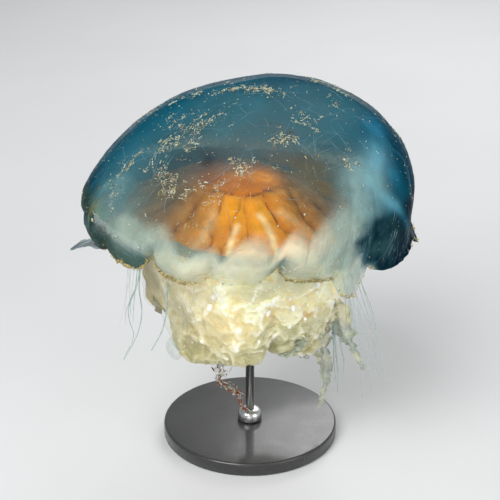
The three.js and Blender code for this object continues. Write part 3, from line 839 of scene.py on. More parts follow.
def dome_colours(theta, radius, points, fold, across, on_skirt, rim_away):
    """Tints of the stomach: its disc, the wedges of its folds with painted shade in the seams between them
    and streaks of painted highlight down them, and its dull back.
    """
    patch = patchy(points, 9, 4, 64)
    fine = patchy(points * np.array([1, 1, 0.5]), 3.5, 3, 67)
    shade = lattice(np.stack([fold, fold * 0, fold * 0], -1), 63)
    disc = mixed((184, 108, 40), (212, 130, 44), patch)
    disc = over(disc, (138, 82, 48), 0.8 * beside_point(theta, radius, 180, 18, 15))
    back = smooth(9, 24, radius * np.sin(theta)) * (1 - on_skirt)
    disc = over(disc, (104, 82, 60), 0.8 * back)
    disc = over(disc, (252, 160, 52), 0.95 * beside_point(theta, radius, -6, 15, 7.5))
    disc = over(disc, (190, 128, 70), 0.8 * beside_point(theta, radius, -9, 14.5, 1.6))
    wedge = mixed((212, 136, 44), (228, 156, 48), 0.5 * patch + 0.5 * shade)
    wedge = over(wedge, (204, 134, 70), 0.6 * smooth(48, 60, radius) * (1 - fine))
    for azimuth, middle, reach in GLOWS:
        wedge = over(wedge, (236, 162, 36), 0.95 * beside_point(theta, radius, azimuth, middle, reach))
    tint = over(disc, wedge, on_skirt)

    # painted shade in the creases between the folds: a soft red-brown band along each seam and a thin
    # darker line in it
    to_seam = np.abs(across)
    seam = smooth(0.62, 1.0, to_seam) * on_skirt * (0.35 + 0.65 * fine)
    tint = over(tint, (178, 96, 30), 0.6 * seam)
    line = smooth(0.94, 1.0, to_seam) * on_skirt * smooth(0.4, 0.75, fine)
    tint = over(tint, (112, 52, 26), 0.65 * line)
    # pale cream streaks of painted highlight down the folds
    for place, wide, strength in PAINTED_HIGHLIGHTS:
        pale = strength * streak(theta, radius, place, wide) * (0.7 + 0.5 * fine)
        tint = over(tint, (244, 216, 160), np.clip(pale, 0, 1))
    rim = fade(rim_away / 1.3) * smooth(0.35, 0.65, fine) * bump_at(theta, -88, 44)
    corner = beside_point(theta, radius, -46, 25, 3) + 0.9 * beside_point(theta, radius, -115, 26.5, 3.2)
    tint = over(tint, (84, 40, 40), np.clip(0.8 * rim + 0.6 * corner, 0, 0.9))

    front = np.clip(1.2 * bump_at(theta, -79, 44), 0, 1)
    brown = (1 - front) * smooth(DISC_RADIUS - 12, DISC_RADIUS + 8, radius)
    dull = mixed((98, 82, 60), (140, 116, 82), patch)
    # painted shade in the creases between the dull back folds
    dull = over(dull, (60, 50, 44), 0.75 * smooth(0.6, 0.95, to_seam) * on_skirt * fine)
    tint = over(tint, dull, 0.9 * brown)
    return over(tint, (150, 158, 148), smooth(62, SKIRT_RADIUS, radius))


def stomach_dome():
    """The orange disc and the skirt of broad folds round it, down to the roots of the oral arms."""
    cols, rows = 1080, 140
    tallest = 2.8  # of the folds
    theta = around(cols)[None]
    radius = blend(0.4, SKIRT_RADIUS, np.linspace(0, 1, rows)[:, None] ** 0.85)
    edge = DISC_RADIUS + 1.5 + 1.6 * rough(polar(50.0, theta, 0.0), 16, 3, 59)
    fold, across, width = folds(theta, radius)
    on_skirt = smooth(edge - 1.5, edge + 3, radius)
    flat = 1 - 0.6 * smooth(0.55, 0.05, bump_at(theta, -84, 62))
    height = np.minimum(tallest, 0.22 * width) * flat
    swell = (1 - np.abs(across) ** 2.2) * smooth(edge - 2, edge + 10, radius)
    swell = swell * smooth(SKIRT_RADIUS, 50, radius)
    points = polar(radius, theta, np.interp(radius, STOMACH_RADII, STOMACH_HEIGHTS))
    points[..., :2] += smooth(64, DISC_RADIUS, radius)[..., None] * DISC_PLACE
    ribs = rough(np.stack(np.broadcast_arrays(theta * 30, radius * 0.22, 0.0), -1), 2.2, 3, 68)
    crumple = rough(points * np.array([1, 1, 0.6]), 11, 3, 62)
    lip = -0.9 * fade((radius - edge) / 1.8) * bump_at(theta, -88, 50)
    points[..., 2] += height * swell + 0.6 * crumple * (0.3 + on_skirt) + 0.35 * ribs * on_skirt + lip
    tint = dome_colours(theta, radius, points, fold, across, on_skirt, radius - edge)
    cover = 1 - 0.7 * smooth(63, SKIRT_RADIUS, radius)
    piece = grid_piece("stomach_dome", from_bell(points), dome_flesh, tint, cover=cover)
    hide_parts("stomach")


# ---- oral arms


def spline(points, t):
    """A smooth curve through a few points, for t from 0 to 1."""
    points = np.array(points, float)
    padded = np.vstack([2 * points[0] - points[1], points, 2 * points[-1] - points[-2]])
    place = np.clip(t, 0, 1) * (len(points) - 1)
    k = np.minimum(place.astype(int), len(points) - 2)
    f = (place - k)[..., None]
    a, b, c, d = (padded[k + n] for n in range(4))
    return 0.5 * (2 * b + (c - a) * f + (2 * a - 5 * b + 4 * c - d) * f**2 + (3 * b - a - 3 * c + d) * f**3)


ARM_SIDES = np.radians([-75, 15, 105, 195])  # where two arms part
ARM_LENGTHS = {-120: 78, -30: 79, 60: 74, 150: 57}  # by the azimuth of each arm
ARM_LOBES = ((180, 60, 0.02), (-141, 50, 0.6))  # azimuth, the radius that it fills out to, and its start
ARM_SHARES = (0, 0.14, 0.3, 0.47, 0.62, 0.77, 0.91, 1)  # of the way down the arms
ARM_RADII = (45, 51, 54, 52.5, 50, 46.5, 41.5, 31)  # of the skirt of arms at those shares


def parting(theta):
    """1 where two arms part, 0 away from there."""
    return sum(bump_at(theta, math.degrees(side), 6.5) for side in ARM_SIDES)


def arm_length(theta):
    """Length of the arms at an azimuth, blended between the four arms' own."""
    weights = {centre: bump_at(theta, centre, 52) ** 2 for centre in ARM_LENGTHS}
    total = sum(ARM_LENGTHS[centre] * weight for centre, weight in weights.items())
    return total / sum(weights.values()) - 7 * bump_at(theta, -62, 16)


def arm_surface(theta, s):
    """The skirt of arms before its ruffles, in millimetres in the model's own frame."""
    theta = theta + 0.1 * np.sin(9 * s + 3) * s + 0.05 * np.sin(23 * s)
    radius = np.interp(s, ARM_SHARES, ARM_RADII)
    lobes = 0
    for azimuth, reach, first in ARM_LOBES:
        along = smooth(first, first + 0.2, s) * smooth(1.06, 0.86, s)
        lobes = lobes + np.maximum(0, reach - radius) * along * bump_at(theta, azimuth, 18)
    radius = radius + lobes - (0.5 + 4 * s) * parting(theta) * (1 - 0.85 * bump_at(theta, -165, 25))
    x, y = radius * np.cos(theta), radius * np.sin(theta)
    ceiling = BELL_CENTRE[2] + 1.6 - (x - BELL_CENTRE[0]) * math.tan(LEAN)
    lowest = BELL_CENTRE[2] + 1 - arm_length(theta) + 6 * parting(theta)
    return np.stack([x, y, blend(ceiling, lowest, s)], -1)


def arm_place(azimuth, share):
    """The place on the arms at an azimuth in degrees and a share of the way down."""
    return arm_surface(np.radians([float(azimuth)]), np.array([share]))[0]


def ridged(points, size, seed):
    """Sharp meandering crests, 1 on the crest line."""
    return 1 - np.abs(noise(points, size, seed))


RUFFLES = (  # white frilled ridges in front: (azimuth, share of the way down) along each
    ((-88, 0.30), (-97, 0.44), (-105, 0.56), (-99, 0.70), (-103, 0.77)),
    ((-112, 0.32), (-106, 0.42), (-103, 0.50)), ((-75, 0.41), (-84, 0.41), (-92, 0.45)),
    ((-84, 0.27), (-75, 0.36), (-76, 0.46)), ((-93, 0.52), (-89, 0.61), (-91, 0.70), (-98, 0.76)),
    ((-132, 0.42), (-127, 0.55), (-119, 0.52)), ((-71, 0.50), (-62, 0.49), (-61, 0.58), (-68, 0.66)),
    ((-50, 0.52), (-44, 0.62), (-36, 0.66)), ((-118, 0.74), (-108, 0.86), (-94, 0.88)),
    ((-84, 0.80), (-74, 0.82), (-66, 0.78)),
)
STAINS = (  # tinted places on the arms: azimuth, share of the way down, reach, colour, strength
    (-112, 0.60, 11, (222, 198, 132), 0.85), (-116, 0.80, 10, (206, 184, 124), 0.8),
    (-55, 0.57, 3.2, (222, 168, 60), 0.9), (-131, 0.66, 3.2, (214, 168, 84), 0.8),
    (-84, 0.60, 7, (226, 208, 150), 0.6), (-60, 0.42, 9, (236, 214, 160), 0.6),
    (-128, 0.32, 10, (216, 198, 160), 0.7), (-78, 0.86, 11, (176, 172, 124), 0.7),
    (-50, 0.75, 9, (160, 164, 126), 0.7), (-138, 0.62, 10, (164, 150, 100), 0.75),
    (-132, 0.85, 12, (150, 142, 96), 0.75), (-40, 0.62, 10, (186, 182, 136), 0.6),
    (-62, 0.84, 12, (146, 148, 110), 0.75),
)


def ruffle_lines():
    """The ruffles in front and others scattered round the sides and back, as points along each."""
    rng = np.random.default_rng(31)
    lines = list(RUFFLES)
    for _ in range(24):
        place = np.array([rng.uniform(-25, 140), rng.uniform(0.2, 0.8)])
        line = [place]
        for _ in range(3):
            place = place + np.array([rng.normal(0, 9), rng.uniform(-0.02, 0.13)])
            line.append(place)
        lines.append(line)
    for places in lines:
        line = spline(places, np.linspace(0, 1, 26))
        yield arm_surface(np.radians(line[:, 0]), np.clip(line[:, 1], 0, 1))


def ruffled(points):
    """1 on the crest of a ruffle, falling to 0 a few millimetres to each side."""
    most = np.zeros(points.shape[:-1])
    for line in ruffle_lines():
        low, high = line.min(0) - 5, line.max(0) + 5
        close = np.all((points > low) & (points < high), axis=-1)
        gap = np.linalg.norm(points[close][:, None] - line[None], axis=-1).min(1)
        most[close] = np.maximum(most[close], fade(gap / 2))
    return most


def oral_arms():
    """The four arms in one ruffled skin, from their roots down their outside and up underneath."""
    cols, rows, under = 880, 178, 34
    theta = around(cols)[None]
    s = np.linspace(0, 1, rows)[:, None]
    outside = arm_surface(theta, s)
    inward = np.linspace(0, 1, under)[1:, None, None]
    underside = outside[-1:] + inward * np.array([0, 0, 12.0])
    underside[..., :2] = outside[-1:, :, :2] * (1 - 0.78 * inward)
    base = np.concatenate([outside, underside])
    depth = np.concatenate([smooth(0, 0.16, s[:, 0]), np.linspace(1, 0.3, under - 1)])[:, None]
    height = np.clip((base[..., 2] - (BELL_CENTRE[2] - ARM_DROP)) / ARM_DROP, 0, 1)

    warp = base + 4.5 * np.stack([rough(base, 12, 3, 65 + k) for k in range(3)], -1)
    upright = np.array([1.15, 1.15, 0.7])
    curtain = ridged(warp * upright, 17, 70) ** 2.5
    fold = ridged(warp * upright, 8.5, 71) ** 2
    frill = ridged(warp, 4.2, 72) ** 2
    fine = ridged(warp, 2.1, 73) ** 1.5
    knobs = lumps(warp, 7.0, 74)
    beaded = lumps(base, 2.6, 79) * smooth(0.24, 0.1, height)
    ruffle = ruffled(base + 2.4 * np.stack([rough(base, 4.4, 2, 85 + k) for k in range(3)], -1))
    ruffle = ruffle * (0.75 + 0.45 * rough(base, 6, 2, 84))
    side = bump_at(theta, -165, 24) * smooth(0.1, 0.3, height)
    smoother = 1 - np.clip(side, 0, 0.9)
    push = (3.0 * curtain + 1.6 * fold) * (1 - 0.7 * side)
    push = push + (0.4 * frill + 0.1 * fine + 1.5 * knobs) * smoother + 1.6 * side * lumps(base, 9.0, 77)
    push = (push + 2.1 * ruffle + 1.1 * beaded + 0.06 * rough(base, 1.6, 2, 75) - 3.4) * depth
    points = base + normals_of(base) * push[..., None]

    patch = patchy(base, 16, 3, 76)
    # crests painted paler and the creases between them warmer and a little darker: partly the arms' own
    # colour, partly painted light and shade
    crest = smooth(0.3, 0.85, 0.25 * curtain + 0.3 * fold + 0.3 * frill + 0.15 * fine)
    tint = mixed((244, 234, 186), (252, 248, 220), crest)
    warm = smooth(0.5, 0.85, patch) * (1 - crest)
    tint = over(tint, (238, 214, 150), 0.4 * warm)
    for azimuth, share, reach, colour, strength in STAINS:
        away = (base - arm_place(azimuth, share)) / reach
        tint = over(tint, colour, strength * fade_out(away) * (1 - 0.5 * crest))
    low = smooth(0.46, 0.08, height) * (1 - 0.35 * crest)
    tint = over(tint, (158, 152, 104), 0.85 * low)
    brown = mixed((108, 101, 72), (146, 134, 98), patch)
    shaded = np.maximum(bump_at(theta, -176, 26), 0.55 * bump_at(theta, -150, 26))
    tint = over(tint, brown, 0.9 * shaded * smooth(0.1, 0.35, height))
    tint = over(tint, (254, 249, 224), 0.75 * smooth(0.25, 0.9, ruffle))
    piece = grid_piece("oral_arms", points * MM, arm_flesh, tint, cover=1.0)
    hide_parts("oral_arm_front", "oral_arm_right", "oral_arm_back", "oral_arm_left")


FILMS = (  # films over the arms: azimuth, share of the way down, reach across, reach down, cover
    (-86, 0.31, 13, 7, 0.6), (-57, 0.24, 13, 8, 0.65), (-82, 0.47, 6, 4, 0.5), (-66, 0.76, 12, 6, 0.5),
    (-42, 0.72, 9, 8, 0.6), (-140, 0.9, 7, 6, 0.5), (40, 0.3, 16, 9, 0.7), (95, 0.45, 14, 8, 0.6),
    (140, 0.25, 14, 8, 0.7),
)


def arm_film():
    """Smooth grey-green films stretched over parts of the arms."""
    cols, rows = 480, 120
    theta = around(cols)[None]
    s = np.linspace(0.02, 1, rows)[:, None]
    base = arm_surface(theta, s)
    points = base + normals_of(base) * (0.4 + 1.3 * rough(base, 15, 3, 88))[..., None]
    cover = 0.1 * np.ones(points.shape[:-1])
    for azimuth, share, wide, tall, most in FILMS:
        away = (base - arm_place(azimuth, share)) / np.array([wide, wide, tall])
        cover = np.maximum(cover, most * np.clip(1.3 * fade_out(away), 0, 1))
    patch = patchy(base, 9, 4, 89)
    cover = cover * (0.75 + 0.5 * patch) * smooth(1, 0.94, s) * smooth(0.02, 0.1, s)
    tint = mixed((190, 194, 166), (218, 218, 192), patch)
    piece = grid_piece("arm_film", points * MM, film_gel, tint, cover=cover)


GLINT_BEADS = np.array([  # the largest beads, set where glints of light show and so partly painted highlight: azimuth, share of the way down, size
    [-50, 0.30, 2.0], [-51, 0.37, 0.9], [-80, 0.51, 1.4], [-113, 0.36, 1.7], [-113, 0.45, 1.7],
    [-64, 0.49, 1.5], [-81, 0.73, 1.0], [-79, 0.84, 1.2], [-68, 0.40, 0.8], [-60, 0.60, 0.9],
])


def arm_beads():
    """Glassy white beads and nodules caught in the arms' folds. The largest are partly painted highlight,
    white where glints of light show.
    """
    rng = np.random.default_rng(13)
    count, fringe = 50, 300
    theta = np.concatenate([np.radians(GLINT_BEADS[:, 0]), rng.uniform(-2.5, 2.4, count + fringe)])
    share = np.concatenate([rng.uniform(0.25, 0.98, count), 1 - np.abs(rng.normal(0, 0.05, fringe))])
    s = np.concatenate([GLINT_BEADS[:, 1], share])
    centre = arm_surface(theta, s)
    stand_off = np.concatenate([np.full(len(GLINT_BEADS), 0.6), rng.uniform(-2.4, 0.4, count + fringe)])
    centre[:, :2] *= (1 + stand_off / 50)[:, None]
    middling = rng.lognormal(-0.3, 0.4, count).clip(0.4, 1.4)
    small = rng.lognormal(-0.8, 0.4, fringe).clip(0.25, 1.0)
    size = np.concatenate([GLINT_BEADS[:, 2], middling, small])
    oval = ball(9, 10) * np.array([1, 1, 1.3])
    grids = shaken(centre[:, None, None] + oval * size[:, None, None, None], 0.45, 1.8, 3, 14)
    piece = many_grids("arm_beads", grids * MM, bead_flesh, srgb(252, 250, 236), cover=1.0)


def arm_frills():
    """Frilled ribbons that stand off the arms, each rooted along a wandering line."""
    rng = np.random.default_rng(7)
    count, steps, wide = 64, 120, 9
    start_theta = rng.uniform(0, 2 * np.pi, count)[:, None]
    start_s = rng.uniform(0.14, 0.8, count)[:, None]
    t = np.linspace(0, 1, steps)[None]
    turn = rng.uniform(-0.5, 0.5, count)[:, None]
    fall = rng.uniform(0.1, 0.36, count)[:, None]
    phase = rng.uniform(0, 6.28, count)[:, None]
    theta = start_theta + turn * t + 0.06 * np.sin(9 * t + phase)
    s = np.clip(start_s + fall * t + 0.02 * np.sin(11 * t + phase * 2), 0, 1)

    root = arm_surface(theta, s)
    ahead = arm_surface(theta + 0.01, s) - root
    below = arm_surface(theta, np.clip(s + 0.01, 0, 1)) - arm_surface(theta, np.clip(s - 0.01, 0, 1))
    out = unit(np.cross(below, ahead))
    side = np.cross(out, unit(np.gradient(root, axis=1)))
    w = np.linspace(0, 1, wide)[None, None]
    width = rng.uniform(3.0, 5.5, count)[:, None] * np.sin(np.pi * np.clip(t, 0.02, 0.98)) ** 0.5
    bare = np.maximum(bump_at(theta, -165, 30) * smooth(0.85, 0.7, s), 0.9 * bump_at(theta, -92, 42))
    width = width * (1 - bare)
    waves = rng.uniform(3, 5.5, count)[:, None] * 2 * np.pi
    wave = np.sin(waves * t + phase)[..., None] * w**1.3
    wave = wave + 0.4 * np.sin(2.7 * waves * t + 2 * phase)[..., None] * w**2
    ragged = 1 + 0.15 * noise(np.stack([theta * 40, s * 90, theta * 0 + 3], -1), 2, 80)
    reach = width[..., None] * w * ragged[..., None] - 2.8 - 5 * bare[..., None]
    sway = width[..., None] * 0.4 * wave
    grid = root[:, :, None] + out[:, :, None] * reach[..., None] + side[:, :, None] * sway[..., None]

    edge = np.broadcast_to(w, grid.shape[:-1])
    patch = patchy(grid, 12, 3, 81)
    tint = mixed((232, 216, 160), (252, 247, 222), smooth(0.2, 0.9, edge))
    tint = over(tint, (150, 148, 104), 0.75 * smooth(0.62, 0.95, s)[..., None])
    tint = over(tint, (214, 214, 184), 0.4 * smooth(0.6, 0.9, patch))
    # painted shade down the left side, as on the arms
    tint = over(tint, (166, 152, 114), 0.7 * bump_at(theta, -165, 24)[..., None])
    cover = 1 - 0.2 * smooth(0.6, 1, edge) * (1 - patch)
    piece = many_grids("arm_frills", grid * MM, arm_flesh, tint, closed=False, cover=cover)


# ---- torn streamers under the arms

STREAMERS = {  # points down the middle of each, its half widths down it, and its seed
    "streamer_long": (
        ((34, -17, 90), (38, -15, 72), (42, -13, 54), (43, -12, 40), (39, -11, 21)),
        (13, 9.5, 5.6, 4.2, 2.2, 0.8), 90,
    ),
    "streamer_short": (
        ((44, -14, 96), (52, -13, 72), (58, -12, 61), (62, -12, 53), (64, -12, 46)),
        (7, 5.5, 3.0, 2.2, 1.2), 91,
    ),
    "veil_front": (((18, -34, 88), (20, -36, 80), (21, -37, 73), (20, -36, 68)), (9, 9, 6, 2), 92),
    "veil_right": (((28, -26, 88), (31, -26, 78), (33, -22, 68), (31, -18, 57)), (8, 8, 5, 2), 93),
}


def streamer(name, points, widths, seed):
    """A tattered, translucent ribbon that folds lengthwise. Its widths are spaced evenly down it."""
    rows, cols = 220, 40
    t = np.linspace(0, 1, rows)
    down, across = t[:, None], np.linspace(-1, 1, cols)[None]
    still = 0 * t
    middle = spline(points, t)
    middle = middle + 0.8 * np.stack([np.sin(13 * t + seed), np.cos(11 * t), still], -1) * down
    twist = 0.25 * np.sin(5 * t + seed) - 0.2
    side = np.stack([np.cos(twist), np.sin(twist), still], -1)
    front = np.stack([-np.sin(twist), np.cos(twist), still], -1)
    edge = np.stack([t * 70, still, still], -1)
    torn = 0.4 * rough(edge, 11, 2, seed) + 0.35 * rough(edge, 3.5, 3, seed + 4)
    torn_other = 0.4 * rough(edge, 9, 2, seed + 7) + 0.35 * rough(edge, 3, 3, seed + 9)
    width = np.interp(t, np.linspace(0, 1, len(widths)), widths)[:, None]
    width = width * (1 + np.where(across > 0, torn[:, None], torn_other[:, None]))
    fold = 0.22 * width * np.sin(across * 5.5 + 5 * down + seed)
    grid = middle[:, None] + side[:, None] * (across * width)[..., None] + front[:, None] * fold[..., None]
    grid = shaken(grid, 0.45, 4, 3, seed + 3)
    patch = patchy(grid, 5, 4, seed + 5)
    tint = mixed((142, 158, 144), (218, 216, 190), patch)
    tint = over(tint, (234, 224, 184), 0.8 * smooth(0.35, 0.0, down))
    cover = np.clip(0.62 + 0.3 * patch + 0.3 * np.abs(across) ** 3 + 0.3 * smooth(0.3, 0, down), 0, 1)
    piece = grid_piece(name, grid * MM, strand_gel, tint, closed=False, cover=cover)


STRAND = (  # points down the frayed thread
    (-24, -22, 66), (-20, -22, 57), (-15, -22, 52), (-17.5, -22, 46),
    (-12, -22, 41), (-7, -22, 38), (-5.5, -22, 31), (-2, -22, 26),
)


def crooked(rng, centre, heading, half, steps, jitter):
    """Short crooked paths through their centres, each along its heading and of its own half length."""
    reach = half[:, None, None] * np.linspace(-1, 1, steps)[:, None]
    return centre[:, None] + heading[:, None] * reach + rng.normal(0, jitter, (len(centre), steps, 3))


def trailing_strand():
    """A frayed thread below the front arm: pale crumbs at first, then red-brown fibres."""
    rng = np.random.default_rng(17)
    count = 230
    t = np.sort(rng.uniform(0, 1, count)) ** 0.9
    centre = spline(STRAND, t) + rng.normal(0, 1, (count, 3)) * blend(2.0, 0.6, t)[:, None]
    heading = unit(rng.normal(0, 1, (count, 3)) + np.array([0.6, 0, -1.0]))
    paths = crooked(rng, centre, heading, rng.uniform(0.4, 1.9, count), 5, 0.2)
    radii = np.outer(rng.uniform(0.1, 0.42, count), [0.5, 0.9, 1, 0.8, 0.3])
    grids = tubes(paths, radii)
    redder = (rng.uniform(0, 1, count) < blend(0.25, 0.75, t))[:, None, None, None]
    share = rng.uniform(0, 1, count)[:, None, None]
    red = mixed((110, 52, 32), (156, 92, 62), share)
    pale = mixed((168, 168, 152), (226, 224, 208), share)
    tint = np.where(redder, red, pale)
    piece = many_grids("trailing_strand", grids * MM, crust_flesh, tint, cover=1.0)


def arm_bubble():
    """A clear blister low on the left of the front arm."""
    centre, half = np.array([-41.0, -27, 69.0]), np.array([5.2, 5.0, 6.8])
    grid = centre + ball(40, 48) * half
    grid = grid + 0.5 * normals_of(grid) * rough(grid, 5, 2, 15)[..., None]
    cover = 0.06 + 0.16 * patchy(grid, 5, 3, 16)
    piece = grid_piece("arm_bubble", grid * MM, film_gel, srgb(150, 168, 158), cover=cover)


# ---- tentacles

CLUSTERS = (  # mean length, outward drift and number of the threads in each bunch of tentacles
    (34, 0.12, 8), (44, 0.12, 8), (50, 0.12, 8), (56, 0.14, 8), (74, 0.1, 5), (70, 0.14, 1), (22, 0.1, 4),
    (78, 0.3, 13),
)
LOOSE_STRANDS = (  # the radius of each long strand at its root, and points down it
    (0.5, ((-58, -13, 140), (-60, -14, 112), (-61, -14, 98), (-60, -14, 84), (-63, -14, 70),
           (-71, -14, 54))),
    (0.4, ((-60, -13, 138), (-61, -14, 106), (-67, -14, 88), (-67, -14, 79), (-65, -14, 69),
           (-71, -14, 55))),
    (0.3, ((-59, -12, 138), (-61, -13, 106), (-66, -13, 92), (-70, -13, 81))),
    (0.35, ((-60, -13, 138), (-62, -13, 108), (-64, -14, 92), (-65, -14, 78))),
    (0.7, ((-43, -26, 120), (-45, -29, 103), (-45, -30, 95), (-48, -30, 81), (-54, -30, 69))),
    (0.6, ((46, -12, 86), (48, -11, 62), (49, -10, 52), (50, -10, 42), (50, -10, 31))),
    (0.5, ((45, -12, 84), (47, -11, 62), (47.5, -10, 50), (49, -10, 38))),
    (0.5, ((48, -12, 84), (51, -11, 62), (53, -10, 52), (53, -10, 44))),
)


def tentacles():
    """Fine threads in bunches under the bell, and the long loose ones that show best."""
    rng = np.random.default_rng(23)
    steps = 40
    t = np.linspace(0, 1, steps)
    paths, radii = [], []
    for cluster, (mean_length, drift, count) in enumerate(CLUSTERS):
        theta = (cluster * 2 + 0.5) * STEP
        outward = np.array([math.cos(theta), math.sin(theta), 0])
        sideways = np.array([-math.sin(theta), math.cos(theta), 0])
        for _ in range(count):
            side = rng.uniform(-6, 6)
            root = outward * (TENTACLE_RING + rng.uniform(-2, 2)) + sideways * side + np.array([0, 0, 7.0])
            length = mean_length * rng.uniform(0.6, 1.15)
            out = drift * length * rng.uniform(0.6, 1.15) * t + 1.6 * np.sin(5 * t + rng.uniform(0, 6)) * t
            beside = 0.4 * side * t + 3.0 * np.sin(rng.uniform(3, 8) * t + rng.uniform(0, 6)) * t
            fall = np.outer(length * t, [0, 0, -1])
            paths.append(from_bell(root) / MM + np.outer(out, outward) + np.outer(beside, sideways) + fall)
            radii.append(rng.uniform(0.12, 0.36) * (1 - 0.55 * t) * (1 + 0.2 * np.sin(70 * t)))
    for root_radius, points in LOOSE_STRANDS:
        paths.append(spline(points, t))
        radii.append(root_radius * (1 - 0.6 * t) * (1 + 0.15 * np.sin(50 * t)))
    grids = tubes(np.array(paths), np.array(radii))
    piece = many_grids("tentacle_threads", grids * MM, strand_gel, srgb(176, 196, 190), cover=0.75)
    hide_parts(*[f"tentacles_{n:02d}" for n in range(1, 9)])


# ---- specks and crust on the bell


def onto_skin(points):
    """The places on the dome's skin straight out from its middle, and the outward directions there."""
    out = unit(points)
    wide = np.hypot(out[..., 0], out[..., 1]) / BELL_RADIUS
    tall = np.maximum(out[..., 2], 0) / BELL_HEIGHT
    reach = (wide**ROUNDNESS + tall**ROUNDNESS) ** (-1 / ROUNDNESS)
    return dented(out * reach[..., None]), out


# Groups of specks: from one (azimuth, height) on the dome to another, their spread in millimetres, how many
SPECK_GROUPS = (
    ((-156, 30), (-154, 46), 2.0, 60), ((-144, 46), (-146, 51), 3.0, 70),
    ((-134, 52), (-134, 55), 2.0, 30), ((-143, 53), (-142, 62), 3.2, 120),
    ((-139, 42), (-127, 37), 3.6, 130), ((-122, 36), (-118, 42), 1.6, 40),
    ((-114, 52), (-103, 53), 1.6, 50), ((-111, 41), (-102, 50), 1.8, 60),
    ((176, 70), (-119, 73.5), 2.4, 170), ((170, 58), (176, 70), 3.0, 70), ((-92, 64), (-84, 62), 2.0, 50),
    ((-97, 61), (-88, 61), 1.5, 24), ((-79, 70), (-69, 65), 2.6, 50), ((11, 53), (6, 44), 2.2, 110),
    ((47, 69), (-24, 69), 5.0, 50), ((-147, 20), (-151, 30), 2.5, 40), ((-57, 59), (-56, 50), 3.0, 26),
    ((-116, 24), (-106, 44), 4.0, 40), ((60, 50), (95, 58), 4.0, 90), ((120, 60), (128, 40), 5.0, 90),
    ((30, 62), (70, 70), 3.5, 70), ((150, 40), (165, 50), 5.0, 70), ((-160, 56), (-150, 66), 5.0, 80),
)


def walks(rng, start, steps, stride, wobble):
    """Wandering paths over the dome from each starting point."""
    point, out = onto_skin(start)
    heading = unit(np.cross(out, rng.normal(0, 1, point.shape)))
    path = [point + out * 0.1]
    for _ in range(steps - 1):
        heading = unit(heading + np.cross(out, heading) * rng.normal(0, wobble, (len(start), 1)))
        point, out = onto_skin(point + heading * stride[:, None])
        path.append(point + out * 0.1)
    return np.stack(path, 1)


def speck_starts(rng, clump, scattered):
    """Places for specks: in clumps along each group's line, and some scattered all over the dome."""
    starts = []
    for first, last, spread, count in SPECK_GROUPS:
        first, last = dome_point(*first), dome_point(*last)
        middles = blend(first, last, rng.uniform(-0.05, 1.05, (count, 1)))
        middles = middles + rng.normal(0, spread, (count, 3))
        pick = rng.integers(0, max(1, count // clump), count)
        starts.append(middles[pick] + rng.normal(0, 0.22 * spread + 0.25, (count, 3)))
    anywhere = rng.normal(0, 1, (scattered, 3)) * np.array([1, 1, 0.8])
    anywhere[:, 2] = np.abs(anywhere[:, 2])
    starts.append(unit(anywhere) * BELL_RADIUS)
    starts = np.concatenate(starts)
    starts[:, 2] = np.maximum(starts[:, 2], 8)
    crowded = (starts[:, 0] > 45) & (starts[:, 2] < 52) & (starts[:, 1] < 30)
    return starts[~crowded | (rng.uniform(0, 1, len(starts)) < 0.45)]


def specks():
    """Pale crumbs and crooked flecks that lie on the bell, most of them in clumps."""
    rng = np.random.default_rng(5)
    start = np.concatenate([speck_starts(rng, 5, 900), speck_starts(rng, 9, 300)])
    count, steps = len(start), 4
    stride = rng.lognormal(-1.9, 0.95, count).clip(0.04, 1.3)
    paths = walks(rng, start, steps, stride, 0.7)
    paths = paths + rng.normal(0, 0.05, paths.shape)
    radii = rng.lognormal(-2.45, 0.6, count).clip(0.05, 0.42)[:, None]
    radii = radii * rng.uniform(0.5, 1.5, (count, steps))
    grids = tubes(paths, radii, 5)
    tint = mixed((186, 172, 112), (204, 214, 200), rng.uniform(0, 1, count)[:, None, None])
    kind = rng.uniform(0, 1, count)[:, None, None, None]
    tint = np.where(kind < 0.04, srgb(50, 38, 28), np.where(kind > 0.965, srgb(190, 120, 52), tint))
    piece = many_grids("skin_specks", from_bell(grids), crust_flesh, tint, cover=1.0)


THREAD_PLACES = ((-75, 60), (-50, 62), (-120, 66), (-95, 56), (-20, 60))  # azimuth and height


def skin_threads():
    """Hair-fine pale blue threads that lie across the bell, thickest over the front and right."""
    rng = np.random.default_rng(8)
    middles = np.array([dome_point(*place) for place in THREAD_PLACES])
    starts = middles[rng.integers(0, len(middles), 60)] + rng.normal(0, 12, (60, 3))
    starts = np.concatenate([starts, speck_starts(rng, 1, 160)[::16]])
    starts[:, 2] = np.maximum(starts[:, 2], 10)
    count, steps = len(starts), 18
    paths = walks(rng, starts, steps, rng.uniform(0.25, 1.3, count), 0.09)
    radii = rng.uniform(0.04, 0.1, (count, 1)) * np.sin(np.pi * np.linspace(0.05, 0.95, steps))
    grids = tubes(paths, radii, 4)
    piece = many_grids("skin_threads", from_bell(grids), strand_gel, srgb(120, 168, 186), cover=0.5)


